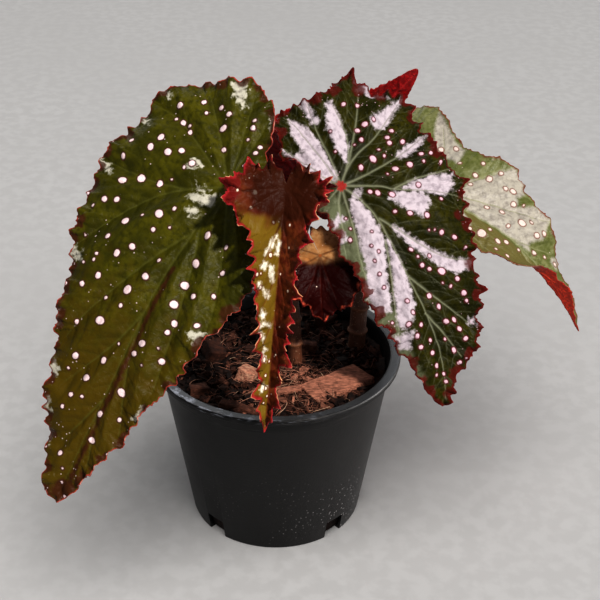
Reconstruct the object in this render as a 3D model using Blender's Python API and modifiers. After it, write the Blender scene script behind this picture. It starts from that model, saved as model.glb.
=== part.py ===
"""Potted cane begonia: a thin black nursery pot of coarse bark mix, two jointed canes and six wing-shaped
leaves on stalks. Metres, +Z up. The origin is the centre of the pot's underside, and -Y is the front."""
import math
import random

import bmesh
import bpy
from mathutils import Matrix, Vector
from mathutils.geometry import interpolate_bezier

# Pot, a thin moulded nursery pot
POT_HEIGHT = 0.0875
POT_FOOT_RADIUS = 0.0420
POT_SHOULDER_RADIUS = 0.0550
POT_RIM_RADIUS = 0.0592
POT_WALL = 0.0011
POT_RIM_DROP = 0.0032
POT_BAND_HEIGHT = 0.0065
POT_BAND_STEP = 0.0005
POT_SEGMENTS = 56
WELD = 0.00001
DRAIN_WIDTH = 0.0100
DRAIN_HEIGHT = 0.0105
DRAIN_DEPTH = 0.0060
DRAIN_TURNS = (42, 90, 138)

# Potting mix, coarse bark and husk
GAP = 0.0003
MIX_LEVEL = 0.0800
MIX_RELIEF = 0.0040
MIX_SINK = 0.3
MIX_EDGE_POWER = 8
MIX_SEED = 7
MIX_BUMPS = 70
BUMP_SPREAD = 0.93
BUMP_RADII = (0.005, 0.010)
BUMP_HEIGHTS = (0.25, 1.0)
BUMP_SLOPE = 0.25
BUMP_EDGE_POWER = 6
MIX_COLUMNS = 44
MIX_RINGS = 9
CHIP_BEVEL = 0.22
MIX_CHIPS = [
    # length, width, thickness, place on the mix, turn, tilt in degrees
    (0.0330, 0.0170, 0.0035, (0.0290, -0.0220, 0.0815), 33, (8, -4)),
    (0.0130, 0.0110, 0.0100, (-0.0130, -0.0150, 0.0815), 70, (15, 20)),
    (0.0260, 0.0060, 0.0045, (-0.0140, -0.0400, 0.0800), -12, (5, 10)),
    (0.0110, 0.0080, 0.0060, (-0.0350, -0.0270, 0.0810), 20, (-12, 6)),
    (0.0120, 0.0100, 0.0080, (-0.0300, 0.0040, 0.0830), 115, (18, -10)),
    (0.0100, 0.0065, 0.0090, (0.0150, 0.0080, 0.0825), 15, (6, 12)),
    (0.0170, 0.0100, 0.0050, (-0.0060, 0.0330, 0.0810), 150, (-8, 9)),
    (0.0150, 0.0080, 0.0060, (0.0240, 0.0360, 0.0815), 60, (10, 12)),
]

# Canes: radius, then the line of each from its buried foot to its growing point
CANE_SIDES = 10
CANE_HOLE_DEPTH = 0.0500
CANE_HOLE_SIDES = 16
CANE_NODE_SWELL = 0.26
CANE_NODE_SPACING = 0.0125
CANE_NODE_HALF = 0.0020
CANE_TAPER = 0.25
BUD_TIP = 0.35
BUD_LENGTH = 3
CANE_STEPS = 60
CANES = {
    "cane_left": (0.0034, [(0.0090, 0.0010, 0.0590), (0.0090, 0.0010, 0.0860), (0.0070, 0.0030, 0.1150),
                           (0.0020, 0.0060, 0.1450), (-0.0010, 0.0050, 0.1720)]),
    "cane_right": (0.0042, [(0.0390, 0.0130, 0.0590), (0.0390, 0.0130, 0.0860), (0.0400, 0.0150, 0.1080),
                            (0.0420, 0.0190, 0.1300), (0.0420, 0.0210, 0.1480)]),
}

# Leaf stalks
STALK_SIDES = 8
STALK_POINTS = 14
STALK_EASE = 0.40
STALK_CLIMB = 0.25
STALK_TAPER = 0.2
STALK_SIDE_DIP = 0.6

# Leaves: the stalk's joint, the tip, the way the upper face looks, then how far in degrees the blade
# bends along, folds up at the midrib (with the share of that fold still open at the joint) and curls up
# one side of its tip, and the outline round the joint as degrees from the midrib and radius
BLADE = 0.0008
EDGE_BAND = 0.0010
TOOTH_LIFT = 0.5
EDGE_STEPS = 12
FAN_SPACING = 0.9
PLEAT_END = 0.8
PLEAT_POWER = 1.2
BORDER_SIDE_SHARE = 0.7
BORDER_LEAST = 0.12
BORDER_FACING = 0.5
FOLD_REACH = 0.030
RUFFLE_DEPTH = 0.0070
MIDRIB_SOFTNESS = 0.0030
LEAVES = {
    "leaf_left": dict(
        joint=(-0.0206, -0.0150, 0.1784), tip=(-0.0910, -0.0800, 0.0600), face=(-0.25, -0.75, 0.60),
        bend=24, fold=(0, 0), curl=(0.5, 1.0, 0), cup=0.008, colour=(0.105, 0.130, 0.018),
        outline=[(-100, 0.010), (-80, 0.026), (-60, 0.034), (-42, 0.042), (-25, 0.062), (-12, 0.098),
                 (0, 0.154), (8, 0.133), (20, 0.101), (35, 0.079), (55, 0.067), (80, 0.060), (105, 0.055),
                 (122, 0.058), (150, 0.052), (165, 0.050), (180, 0.039), (210, 0.019), (225, 0.009)],
        veins=[-70, -32, -10, 0, 22, 52, 88, 122, 152, 185],
        pleat=0.0035, teeth=38, tooth=0.0022, ruffles=13, ruffle=0.0022, rows=8,
        stalk=(0.0016, "cane_left", 7), stalk_side=-119),
    "leaf_right": dict(
        joint=(0.0285, -0.0050, 0.1748), tip=(0.0725, -0.0500, 0.0925), face=(0.20, -0.80, 0.60),
        bend=20, fold=(0, 0), curl=(0.5, 1.0, 0), cup=0.006, colour=(0.060, 0.090, 0.020),
        outline=[(-232, 0.010), (-212, 0.030), (-195, 0.042), (-165, 0.045), (-150, 0.054), (-135, 0.050),
                 (-120, 0.054), (-100, 0.049), (-75, 0.055), (-60, 0.058), (-45, 0.064), (-30, 0.077),
                 (-18, 0.091), (-7, 0.099), (0, 0.106), (7, 0.074), (15, 0.049), (25, 0.031), (45, 0.019),
                 (75, 0.013), (98, 0.008)],
        veins=[-205, -180, -150, -118, -88, -60, -28, 0, 14, 45],
        pleat=0.0030, teeth=36, tooth=0.0026, ruffles=15, ruffle=0.0026, rows=8,
        stalk=(0.0017, "cane_right", 6), stalk_side=None),
    "leaf_far_right": dict(
        joint=(0.0720, 0.0350, 0.1520), tip=(0.1450, 0.0100, 0.0927), face=(0.35, -0.45, 0.80),
        bend=55, fold=(0, 0), curl=(0.46, 0.66, 95), cup=-0.010, colour=(0.150, 0.190, 0.090),
        outline=[(-172, 0.012), (-158, 0.036), (-142, 0.051), (-124, 0.058), (-112, 0.054), (-104, 0.045),
                 (-94, 0.038), (-80, 0.036), (-68, 0.038), (-55, 0.045), (-42, 0.048), (-32, 0.053),
                 (-24, 0.060), (-15, 0.068), (-6, 0.080), (0, 0.101), (3, 0.089), (6, 0.077), (9, 0.065),
                 (14, 0.049), (21, 0.040), (27, 0.032), (38, 0.025), (60, 0.022), (90, 0.019), (125, 0.014),
                 (150, 0.008)],
        veins=[-120, -82, -48, -20, 0, 24, 60, 105],
        pleat=0.0020, teeth=30, tooth=0.0018, ruffles=9, ruffle=0.0018, rows=7,
        stalk=(0.0015, "cane_right", 5), stalk_side=None),
    "leaf_front": dict(
        joint=(0.0046, -0.0280, 0.1847), tip=(-0.0032, -0.0700, 0.0920), face=(0.00, -0.95, 0.30),
        bend=12, fold=(52, 0.6), curl=(0.5, 1.0, 0), cup=0.000, colour=(0.180, 0.070, 0.020),
        outline=[(-165, 0.011), (-147, 0.018), (-128, 0.023), (-100, 0.026), (-78, 0.024), (-60, 0.020),
                 (-42, 0.023), (-28, 0.032), (-20, 0.041), (-16, 0.049), (-12, 0.058), (-10, 0.066),
                 (-7, 0.076), (-4, 0.088), (0, 0.103), (4, 0.087), (7, 0.075), (10, 0.065), (14, 0.056),
                 (20, 0.048), (27, 0.040), (36, 0.033), (48, 0.029), (64, 0.029), (80, 0.032), (96, 0.031),
                 (114, 0.025), (136, 0.018), (165, 0.010)],
        veins=[-110, -60, -22, 0, 20, 60, 105],
        pleat=0.0012, teeth=24, tooth=0.0048, ruffles=8, ruffle=0.0010, rows=6,
        stalk=(0.0014, "cane_left", 8), stalk_side=None),
    "leaf_back": dict(
        joint=(0.0154, 0.0430, 0.1477), tip=(0.0632, 0.0440, 0.2095), face=(-0.05, 0.95, 0.05),
        bend=25, fold=(0, 0), curl=(0.5, 1.0, 0), cup=0.004, colour=(0.220, 0.015, 0.022),
        outline=[(-150, 0.007), (-115, 0.014), (-90, 0.024), (-60, 0.030), (-40, 0.035), (-20, 0.046),
                 (-8, 0.060), (0, 0.079), (8, 0.066), (20, 0.054), (35, 0.047), (55, 0.045), (75, 0.043),
                 (95, 0.037), (115, 0.025), (135, 0.012), (155, 0.007)],
        veins=[-100, -62, -28, 0, 30, 68, 108],
        pleat=0.0020, teeth=28, tooth=0.0022, ruffles=11, ruffle=0.0020, rows=6,
        stalk=(0.0015, "cane_left", 5), stalk_side=None),
    "leaf_inner": dict(
        joint=(0.0200, -0.0050, 0.1405), tip=(0.0215, -0.0180, 0.1150), face=(-0.10, -0.70, 0.55),
        bend=60, fold=(8, 0), curl=(0.5, 1.0, 0), cup=0.001, colour=(0.200, 0.060, 0.025),
        outline=[(-160, 0.006), (-130, 0.012), (-100, 0.014), (-70, 0.015), (-45, 0.018), (-25, 0.022),
                 (-8, 0.029), (0, 0.033), (8, 0.028), (25, 0.020), (45, 0.015), (70, 0.013), (100, 0.013),
                 (130, 0.011), (160, 0.006)],
        veins=[-110, -60, -20, 0, 20, 60, 110],
        pleat=0.0012, teeth=18, tooth=0.0026, ruffles=9, ruffle=0.0016, rows=5,
        stalk=(0.0012, "cane_left", 4), stalk_side=None),
}


def clear_scene():
    for obj in list(bpy.data.objects):
        bpy.data.objects.remove(obj, do_unlink=True)


def new_collection(name):
    collection = bpy.data.collections.new(name)
    bpy.context.scene.collection.children.link(collection)
    return collection


def material(name, colour, roughness):
    mat = bpy.data.materials.new(name)
    mat.use_nodes = True
    shader = mat.node_tree.nodes["Principled BSDF"]
    shader.inputs["Base Color"].default_value = (*colour, 1.0)
    shader.inputs["Roughness"].default_value = roughness
    shader.inputs["Metallic"].default_value = 0.0
    return mat


def add_object(name, mesh, collection, mat=None):
    obj = bpy.data.objects.new(name, mesh)
    collection.objects.link(obj)
    if mat:
        mesh.materials.clear()
        mesh.materials.append(mat)
    return obj


def mesh_from(bm, name):
    mesh = bpy.data.meshes.new(name)
    bm.to_mesh(mesh)
    bm.free()
    return mesh


def apply_modifiers(obj):
    """Replace an object's mesh by the one its modifiers make."""
    evaluated = obj.evaluated_get(bpy.context.evaluated_depsgraph_get())
    mesh = bpy.data.meshes.new_from_object(evaluated)
    obj.modifiers.clear()
    obj.data = mesh


def add_cutter(name, bm, collection):
    cutter = add_object(name, mesh_from(bm, name), collection)
    cutter.hide_render = True
    cutter.display_type = "WIRE"
    return cutter


def smooth_line(points, count):
    """Points spaced along a Catmull-Rom curve through the given ones."""
    ends = [points[0] * 2 - points[1]] + points + [points[-1] * 2 - points[-2]]
    line = []
    spans = len(points) - 1
    for i in range(count + 1):
        place = min(i * spans / count, spans - 1e-9)
        k = int(place)
        t = place - k
        a, b, c, d = ends[k:k + 4]
        line.append(0.5 * (2 * b + (c - a) * t + (2 * a - 5 * b + 4 * c - d) * t * t
                           + (3 * b - a - 3 * c + d) * t ** 3))
    return line


def tube(name, line, radii, sides, collection, mat):
    """A round stem along a line, its thickness set point by point."""
    curve = bpy.data.curves.new(name, "CURVE")
    curve.dimensions = "3D"
    curve.bevel_depth = 1.0
    curve.bevel_resolution = (sides - 4) // 2
    curve.use_fill_caps = True
    spline = curve.splines.new("POLY")
    spline.points.add(len(line) - 1)
    for point, place, radius in zip(spline.points, line, radii):
        point.co = (*place, 1.0)
        point.radius = radius
    guide = bpy.data.objects.new(name + "_line", curve)
    collection.objects.link(guide)
    mesh = bpy.data.meshes.new_from_object(guide.evaluated_get(bpy.context.evaluated_depsgraph_get()))
    bpy.data.objects.remove(guide, do_unlink=True)
    bm = bmesh.new()
    bm.from_mesh(mesh)
    bmesh.ops.remove_doubles(bm, verts=bm.verts, dist=WELD / 10)
    bmesh.ops.recalc_face_normals(bm, faces=bm.faces)
    bm.to_mesh(mesh)
    bm.free()
    mesh.shade_smooth()
    return add_object(name, mesh, collection, mat)


def pot_inner_radius(height):
    """Inside radius of the pot's tapered wall at a height."""
    rise = height / (POT_HEIGHT - POT_RIM_DROP)
    return POT_FOOT_RADIUS + (POT_SHOULDER_RADIUS - POT_FOOT_RADIUS) * rise - POT_WALL - POT_BAND_STEP


def make_pot(parts, cutters):
    """The pot: a turned wall with a rolled rim, then six drain slots cut through its lower corner."""
    under_rim = POT_HEIGHT - POT_RIM_DROP
    band_foot = under_rim - POT_BAND_HEIGHT
    edge = POT_WALL / 2
    mouth = pot_inner_radius(under_rim)
    profile = [
        (0, POT_WALL), (pot_inner_radius(POT_WALL), POT_WALL), (mouth, under_rim),
        (mouth + edge, POT_HEIGHT - edge), (mouth + 2 * edge, POT_HEIGHT),
        (POT_RIM_RADIUS - edge, POT_HEIGHT), (POT_RIM_RADIUS, POT_HEIGHT - edge),
        (POT_RIM_RADIUS, under_rim + edge), (POT_RIM_RADIUS - edge, under_rim),
        (POT_SHOULDER_RADIUS, under_rim), (POT_SHOULDER_RADIUS - edge, band_foot),
        (POT_SHOULDER_RADIUS - edge - POT_BAND_STEP, band_foot - POT_BAND_STEP),
        (POT_FOOT_RADIUS, POT_WALL), (POT_FOOT_RADIUS - POT_WALL, 0), (0, 0),
    ]
    bm = bmesh.new()
    verts = [bm.verts.new((x, 0, z)) for x, z in profile]
    for start, end in zip(verts, verts[1:]):
        bm.edges.new((start, end))
    pot = add_object("pot", mesh_from(bm, "pot"), parts, material("pot_plastic", (0.016, 0.016, 0.018), 0.42))
    turn = pot.modifiers.new("turned", "SCREW")
    turn.steps = turn.render_steps = POT_SEGMENTS
    turn.use_merge_vertices = True
    turn.merge_threshold = WELD

    bm = bmesh.new()
    size = Matrix.Diagonal((DRAIN_WIDTH, 2 * DRAIN_DEPTH, 2 * DRAIN_HEIGHT, 1))
    for turn_from_front in DRAIN_TURNS:
        for side in (-1, 1):
            turned = Matrix.Rotation(math.radians(side * turn_from_front), 4, "Z")
            place = turned @ Matrix.Translation((0, -POT_FOOT_RADIUS, 0))
            bmesh.ops.create_cube(bm, size=1.0, matrix=place @ size)
    slots = pot.modifiers.new("drain_slots", "BOOLEAN")
    slots.operation = "DIFFERENCE"
    slots.object = add_cutter("drain_slot_cutter", bm, cutters)
    return pot


def mix_height(x, y, bumps):
    """Level of the loose bark at a point: the highest of many small tilted chips."""
    level = 0.0
    for bx, by, radius, height, tilt_x, tilt_y in bumps:
        dx, dy = x - bx, y - by
        far = math.hypot(dx, dy) / radius
        if far < 1:
            level = max(level, (height + dx * tilt_x + dy * tilt_y) * (1 - far ** BUMP_EDGE_POWER))
    return level


def make_mix(parts, cutters):
    """The potting mix: a tapered plug with a bumpy top, larger chips fused in and a hole for each cane."""
    rng = random.Random(MIX_SEED)
    top_radius = pot_inner_radius(MIX_LEVEL) - GAP
    bumps = []
    for _ in range(MIX_BUMPS):
        angle = rng.uniform(0, math.tau)
        far = top_radius * math.sqrt(rng.random()) * BUMP_SPREAD
        radius = rng.uniform(*BUMP_RADII)
        height = rng.uniform(*BUMP_HEIGHTS) * MIX_RELIEF
        bumps.append((far * math.cos(angle), far * math.sin(angle), radius, height,
                      rng.uniform(-BUMP_SLOPE, BUMP_SLOPE), rng.uniform(-BUMP_SLOPE, BUMP_SLOPE)))
    bm = bmesh.new()
    bmesh.ops.create_circle(bm, cap_ends=True, segments=MIX_COLUMNS, radius=top_radius)
    top = bm.faces[:]
    step = top_radius / (MIX_RINGS + 1)
    for _ in range(MIX_RINGS):
        bmesh.ops.inset_region(bm, faces=top, thickness=step, use_even_offset=True)
    bmesh.ops.poke(bm, faces=top)
    for vert in bm.verts:
        rim = math.hypot(vert.co.x, vert.co.y) / top_radius
        lift = mix_height(vert.co.x, vert.co.y, bumps) * (1 - rim ** MIX_EDGE_POWER)
        vert.co.z = MIX_LEVEL - MIX_RELIEF * MIX_SINK + lift
    border = [edge for edge in bm.edges if edge.is_boundary]
    skirt = bmesh.ops.extrude_edge_only(bm, edges=border)["geom"]
    foot_level = POT_WALL + GAP
    foot_radius = pot_inner_radius(foot_level) - GAP
    for vert in [part for part in skirt if isinstance(part, bmesh.types.BMVert)]:
        vert.co.x *= foot_radius / top_radius
        vert.co.y *= foot_radius / top_radius
        vert.co.z = foot_level
    bmesh.ops.holes_fill(bm, edges=[edge for edge in bm.edges if edge.is_boundary], sides=0)
    bmesh.ops.triangulate(bm, faces=bm.faces)
    bmesh.ops.recalc_face_normals(bm, faces=bm.faces)
    mix = add_object("potting_mix", mesh_from(bm, "potting_mix"), parts,
                     material("potting_mix", (0.060, 0.030, 0.018), 0.9))

    chips = new_collection("chips")
    for i, (length, width, thick, place, turn, tilt) in enumerate(MIX_CHIPS):
        bm = bmesh.new()
        bmesh.ops.create_cube(bm, size=1.0, matrix=Matrix.Diagonal((length, width, thick, 1)))
        bmesh.ops.bevel(bm, geom=bm.edges[:], offset=min(width, thick) * CHIP_BEVEL, segments=1, profile=0.5,
                        affect="EDGES", material=-1)
        turned = Matrix.Translation(place) @ Matrix.Rotation(math.radians(turn), 4, "Z")
        for degrees, axis in zip(tilt, "XY"):
            turned @= Matrix.Rotation(math.radians(degrees), 4, axis)
        bmesh.ops.transform(bm, matrix=turned, verts=bm.verts)
        add_object(f"chip_{i}", mesh_from(bm, f"chip_{i}"), chips)
    join = mix.modifiers.new("chips", "BOOLEAN")
    join.operation = "UNION"
    join.operand_type = "COLLECTION"
    join.collection = chips
    apply_modifiers(mix)
    for chip in list(chips.objects):
        bpy.data.objects.remove(chip, do_unlink=True)
    bpy.data.collections.remove(chips)

    for name, (radius, line) in CANES.items():
        bm = bmesh.new()
        foot = Vector(line[0])
        depth = CANE_HOLE_DEPTH
        hole = radius * (1 + CANE_NODE_SWELL) + GAP
        bmesh.ops.create_cone(bm, cap_ends=True, segments=CANE_HOLE_SIDES, radius1=hole, radius2=hole,
                              depth=depth, matrix=Matrix.Translation(foot + Vector((0, 0, depth / 2 - GAP))))
        cut = mix.modifiers.new(name + "_hole", "BOOLEAN")
        cut.operation = "DIFFERENCE"
        cut.object = add_cutter(name + "_hole_cutter", bm, cutters)
    return mix


def cane_line(name):
    """The cane's centre line in fine steps, with the length walked to each."""
    line = smooth_line([Vector(point) for point in CANES[name][1]], CANE_STEPS)
    walked = [0.0]
    for a, b in zip(line, line[1:]):
        walked.append(walked[-1] + (b - a).length)
    return line, walked


def along_line(line, walked, distance):
    """The point of a line at a distance from its start."""
    k = 0
    while k < len(line) - 2 and walked[k + 1] < distance:
        k += 1
    share = (distance - walked[k]) / (walked[k + 1] - walked[k])
    return line[k].lerp(line[k + 1], min(max(share, 0.0), 1.0))


def cane_radius(name, distance, length):
    """The cane thins towards its growing point, which is blunt."""
    radius = CANES[name][0]
    bud = min(1.0, BUD_TIP + (length - distance) / (BUD_LENGTH * radius))
    return radius * bud * (1 - CANE_TAPER * (distance / length) ** 2)


def make_cane(name, parts, mat):
    """A jointed cane: a stem with a raised ring at each leaf joint and a blunt bud at its end."""
    line, walked = cane_line(name)
    length = walked[-1]
    stops = [(0.0, 1.0)]
    node = CANE_NODE_SPACING / 2
    while node < length - CANE_NODE_HALF:
        stops += [(node - CANE_NODE_HALF, 1.0), (node, 1 + CANE_NODE_SWELL), (node + CANE_NODE_HALF, 1.0)]
        node += CANE_NODE_SPACING
    stops += [(length, 1.0)]
    places = [along_line(line, walked, distance) for distance, _ in stops]
    radii = [cane_radius(name, distance, length) * swell for distance, swell in stops]
    return tube(name, places, radii, CANE_SIDES, parts, mat)


def leaf_frame(leaf):
    """Joint, sideways, tipward and upper-face directions at the joint, and the midrib's length."""
    joint = Vector(leaf["joint"])
    chord = Vector(leaf["tip"]) - joint
    along = chord.normalized()
    face = Vector(leaf["face"])
    face = (face - along * face.dot(along)).normalized()
    half_bend = math.radians(leaf["bend"]) / 2
    tipward = along * math.cos(half_bend) + face * math.sin(half_bend)
    upper = face * math.cos(half_bend) - along * math.sin(half_bend)
    return joint, tipward.cross(upper), tipward, upper, chord.length * half_bend / math.sin(half_bend)


def smooth_step(share):
    share = min(max(share, 0.0), 1.0)
    return share * share * (3 - 2 * share)


def blade_point(leaf, frame, x, y, z):
    """Carry a point of the flat blade to its place: fold it at the midrib, then bend it along."""
    joint, sideways, tipward, upper, length = frame
    start, full, curl = leaf["curl"]
    turned_up = smooth_step((y / length - start) / (full - start)) if x > 0 else 0.0
    fold, opened = leaf["fold"]
    fold *= 1 - opened * (1 - smooth_step(y / FOLD_REACH))
    fold = math.radians(fold + curl * turned_up)
    side = math.sqrt(x * x + MIDRIB_SOFTNESS ** 2) - MIDRIB_SOFTNESS
    z += side * math.sin(fold) - leaf["cup"] * (2 * x / length) ** 2
    x *= math.cos(fold)
    bend = math.radians(leaf["bend"]) / length
    turned = bend * y
    y = math.sin(turned) / bend + z * math.sin(turned)
    z = z * math.cos(turned) - (1 - math.cos(turned)) / bend
    return joint + sideways * x + tipward * y + upper * z


def leaf_edge(leaf):
    """The flat blade's outline as a fine line, with the length walked to each of its points."""
    corners = [Vector((r * math.sin(math.radians(a)), r * math.cos(math.radians(a)), 0))
               for a, r in leaf["outline"]]
    fine = smooth_line(corners, EDGE_STEPS * (len(corners) - 1))
    walked = [0.0]
    for a, b in zip(fine, fine[1:]):
        walked.append(walked[-1] + (b - a).length)
    return fine, walked


def leaf_margin(leaf, fine, walked, columns):
    """Points spaced evenly round the blade, just inside its toothed edge, and the step out to the edge."""
    margin = []
    k = 0
    for i in range(columns + 1):
        target = walked[-1] * i / columns
        while k < len(fine) - 2 and walked[k + 1] < target:
            k += 1
        share = (target - walked[k]) / (walked[k + 1] - walked[k])
        edge = fine[k].lerp(fine[k + 1], share)
        along = (fine[k + 1] - fine[k]).normalized()
        outward = Vector((-along.y, along.x, 0))
        facing = max(outward.dot(edge.normalized()), 0.0)
        border = min(leaf["tooth"] + EDGE_BAND, BORDER_SIDE_SHARE * abs(edge.x),
                     (BORDER_LEAST + BORDER_FACING * facing) * edge.length)
        step = outward * border
        reach = 1 + (TOOTH_LIFT if i % 2 else -TOOTH_LIFT) * leaf["tooth"] / (leaf["tooth"] + EDGE_BAND)
        margin.append((edge - step, step * reach))
    return margin


def pleat_height(leaf, angle, far):
    """The blade puffs up between neighbouring main veins, which stay sunk."""
    veins = leaf["veins"]
    for start, end in zip(veins, veins[1:]):
        if start <= angle <= end:
            across = (angle - start) / (end - start)
            outward = math.sin(math.pi * PLEAT_END * far ** PLEAT_POWER)
            return leaf["pleat"] * math.sin(math.pi * across) * outward
    return 0.0


def ruffle_height(leaf, spot, fine, walked):
    """The blade waves up and down along its edge, less and less towards the middle."""
    near = min(range(len(fine)), key=lambda i: (fine[i] - spot).length_squared)
    away = (fine[near] - spot).length
    fade = math.exp(-away / RUFFLE_DEPTH) * min(1.0, abs(spot.x) / RUFFLE_DEPTH)
    return leaf["ruffle"] * fade * math.sin(math.tau * leaf["ruffles"] * walked[near] / walked[-1])


def make_leaf(name, parts):
    """A blade: a fan of faces spread from the stalk's joint to the toothed, waved margin."""
    leaf = LEAVES[name]
    frame = leaf_frame(leaf)
    columns = 2 * leaf["teeth"]
    rows = leaf["rows"]
    fine, walked = leaf_edge(leaf)
    margin = leaf_margin(leaf, fine, walked, columns)
    bm = bmesh.new()
    bmesh.ops.create_grid(bm, x_segments=columns, y_segments=rows, size=0.5)
    for vert in bm.verts:
        column = round((vert.co.x + 0.5) * columns)
        row = round((vert.co.y + 0.5) * rows)
        far = min(row / (rows - 1), 1.0) ** FAN_SPACING
        edge, border = margin[column]
        angle = math.degrees(math.atan2(edge.x, edge.y))
        angle = angle_near(angle, leaf["outline"], column / columns)
        flat = edge * far + border * (1 if row == rows else 0)
        rise = pleat_height(leaf, angle, far) + ruffle_height(leaf, flat, fine, walked)
        vert.co = blade_point(leaf, frame, flat.x, flat.y, rise)
    bmesh.ops.remove_doubles(bm, verts=bm.verts, dist=WELD)
    bmesh.ops.triangulate(bm, faces=bm.faces)
    bm.normal_update()
    middle = sum((face.normal * face.calc_area() for face in bm.faces), Vector())
    if middle.dot(frame[3]) < 0:
        bmesh.ops.reverse_faces(bm, faces=bm.faces)
    blade = add_object(name, mesh_from(bm, name), parts, material(name, leaf["colour"], 0.35))
    thick = blade.modifiers.new("thickness", "SOLIDIFY")
    thick.thickness = BLADE
    thick.offset = -1.0
    return blade


def angle_near(angle, outline, share):
    """The same angle, counted on from the outline's own range, which may pass half a turn."""
    expected = outline[0][0] + (outline[-1][0] - outline[0][0]) * share
    while angle < expected - 180:
        angle += 360
    while angle > expected + 180:
        angle -= 360
    return angle


def make_stalk(name, parts, mat):
    """A leaf stalk: one easy curve from a joint of its cane to just under the blade."""
    leaf = LEAVES[name]
    radius, cane, node = leaf["stalk"]
    joint, sideways, tipward, upper, _ = leaf_frame(leaf)
    arrive = -upper
    if leaf["stalk_side"] is not None:
        turn = math.radians(leaf["stalk_side"])
        level = sideways * math.sin(turn) + tipward * math.cos(turn)
        arrive = (level - upper * STALK_SIDE_DIP).normalized()
    lean = math.sqrt(max(0.0, 1 - arrive.dot(upper) ** 2))
    end = joint + arrive * GAP - upper * (BLADE + GAP + radius * lean)
    line, walked = cane_line(cane)
    distance = CANE_NODE_SPACING * (node + 0.5)
    root = along_line(line, walked, distance)
    out = end - root
    out.z = 0
    out.normalize()
    ring = cane_radius(cane, distance, walked[-1]) * (1 + CANE_NODE_SWELL)
    start = root + out * (ring + GAP)
    reach = (end - start).length * STALK_EASE
    climb = (out + Vector((0, 0, STALK_CLIMB))) * reach
    curve = interpolate_bezier(start, start + climb, end + arrive * reach, end, STALK_POINTS)
    radii = [radius * (1 + STALK_TAPER * (1 - i / (STALK_POINTS - 1))) for i in range(STALK_POINTS)]
    return tube(name.replace("leaf", "stalk"), curve, radii, STALK_SIDES, parts, mat)


def build():
    clear_scene()
    parts = new_collection("potted_cane_begonia")
    cutters = new_collection("cutters")
    make_pot(parts, cutters)
    make_mix(parts, cutters)
    cane_bark = material("cane", (0.150, 0.055, 0.030), 0.55)
    stalk_skin = material("stalk", (0.260, 0.040, 0.025), 0.45)
    for name in CANES:
        make_cane(name, parts, cane_bark)
    for name in LEAVES:
        make_leaf(name, parts)
        make_stalk(name, parts, stalk_skin)


build()
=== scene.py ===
"""The looks of a potted cane begonia: a black nursery pot of coarse bark mix, two jointed canes and six
spotted wing-shaped leaves. Metres, +Z up, -Y is the front. Flat blade measures are millimetres."""
import math
import random

import bmesh
import bpy
import numpy as np
from mathutils import Matrix, Vector, noise
from mathutils.geometry import delaunay_2d_cdt, interpolate_bezier
from mathutils.kdtree import KDTree


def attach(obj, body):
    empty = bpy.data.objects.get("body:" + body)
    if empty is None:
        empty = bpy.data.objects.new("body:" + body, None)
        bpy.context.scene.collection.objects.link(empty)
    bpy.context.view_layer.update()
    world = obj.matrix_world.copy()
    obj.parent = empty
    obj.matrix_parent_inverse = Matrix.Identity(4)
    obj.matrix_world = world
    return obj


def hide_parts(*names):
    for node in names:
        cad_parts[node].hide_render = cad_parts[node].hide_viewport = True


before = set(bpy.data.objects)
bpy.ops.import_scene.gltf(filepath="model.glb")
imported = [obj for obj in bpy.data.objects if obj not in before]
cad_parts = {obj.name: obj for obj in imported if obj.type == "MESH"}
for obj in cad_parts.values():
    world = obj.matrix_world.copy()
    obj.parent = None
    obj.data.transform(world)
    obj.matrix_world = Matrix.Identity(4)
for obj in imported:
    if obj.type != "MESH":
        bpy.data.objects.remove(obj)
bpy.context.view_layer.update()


# The pot
# A thin injection-moulded nursery pot of black plastic. Its mouth is turned over into a stiff lip, a band
# under the lip is a shade thicker than the wall, and six slots through the lower corner let it drain.
POT_HEIGHT = 0.0875
POT_FOOT_RADIUS = 0.0420
POT_SHOULDER_RADIUS = 0.0550
POT_LIP_RADIUS = 0.0592
POT_WALL = 0.0011
POT_LIP_DROP = 0.0032
POT_BAND_HEIGHT = 0.0065
POT_BAND_STEP = 0.0005
POT_SPIN_STEPS = 180
SLOT_WIDTH = 0.0100
SLOT_HEIGHT = 0.0105
SLOT_DEPTH = 0.0060
SLOT_TURNS = (42, 90, 138)
SLOT_CORNER = 0.0008
POT_FILLET = 0.0008
POT_WELD = 2e-5
POT_SHARP = math.radians(38)


def add_piece(name, bm, materials, smooth=True):
    """Makes a finished piece from a bmesh, its place already in its mesh."""
    mesh = bpy.data.meshes.new(name)
    bm.to_mesh(mesh)
    bm.free()
    if smooth:
        mesh.shade_smooth()
    for material in materials:
        mesh.materials.append(material)
    piece = bpy.data.objects.new(name, mesh)
    bpy.context.scene.collection.objects.link(piece)
    return piece


def node(tree, kind, inputs=None, **settings):
    """Adds a shader node. Each input, by name or number, takes another node's output or a plain value."""
    made = tree.nodes.new("ShaderNode" + kind)
    for name, value in settings.items():
        setattr(made, name, value)
    for name, value in (inputs or {}).items():
        if isinstance(value, bpy.types.NodeSocket):
            tree.links.new(value, made.inputs[name])
        else:
            made.inputs[name].default_value = value
    return made


def blend(tree, share, one, other):
    """One colour turning into the other as share goes from 0 to 1."""
    return node(tree, "Mix", {0: share, 6: one, 7: other}, data_type="RGBA").outputs[2]


def plus(tree, one, other):
    """The sum of two values. Here and in the next two, each is another node's output or a number."""
    return node(tree, "Math", {0: one, 1: other}, operation="ADD").outputs[0]


def minus(tree, one, other):
    return node(tree, "Math", {0: one, 1: other}, operation="SUBTRACT").outputs[0]


def times(tree, one, other):
    return node(tree, "Math", {0: one, 1: other}, operation="MULTIPLY").outputs[0]


def swing(tree, value, width):
    """Noise of 0 to 1 moved and stretched to swing by a width round nothing."""
    return times(tree, minus(tree, value, 0.5), width)


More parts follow.
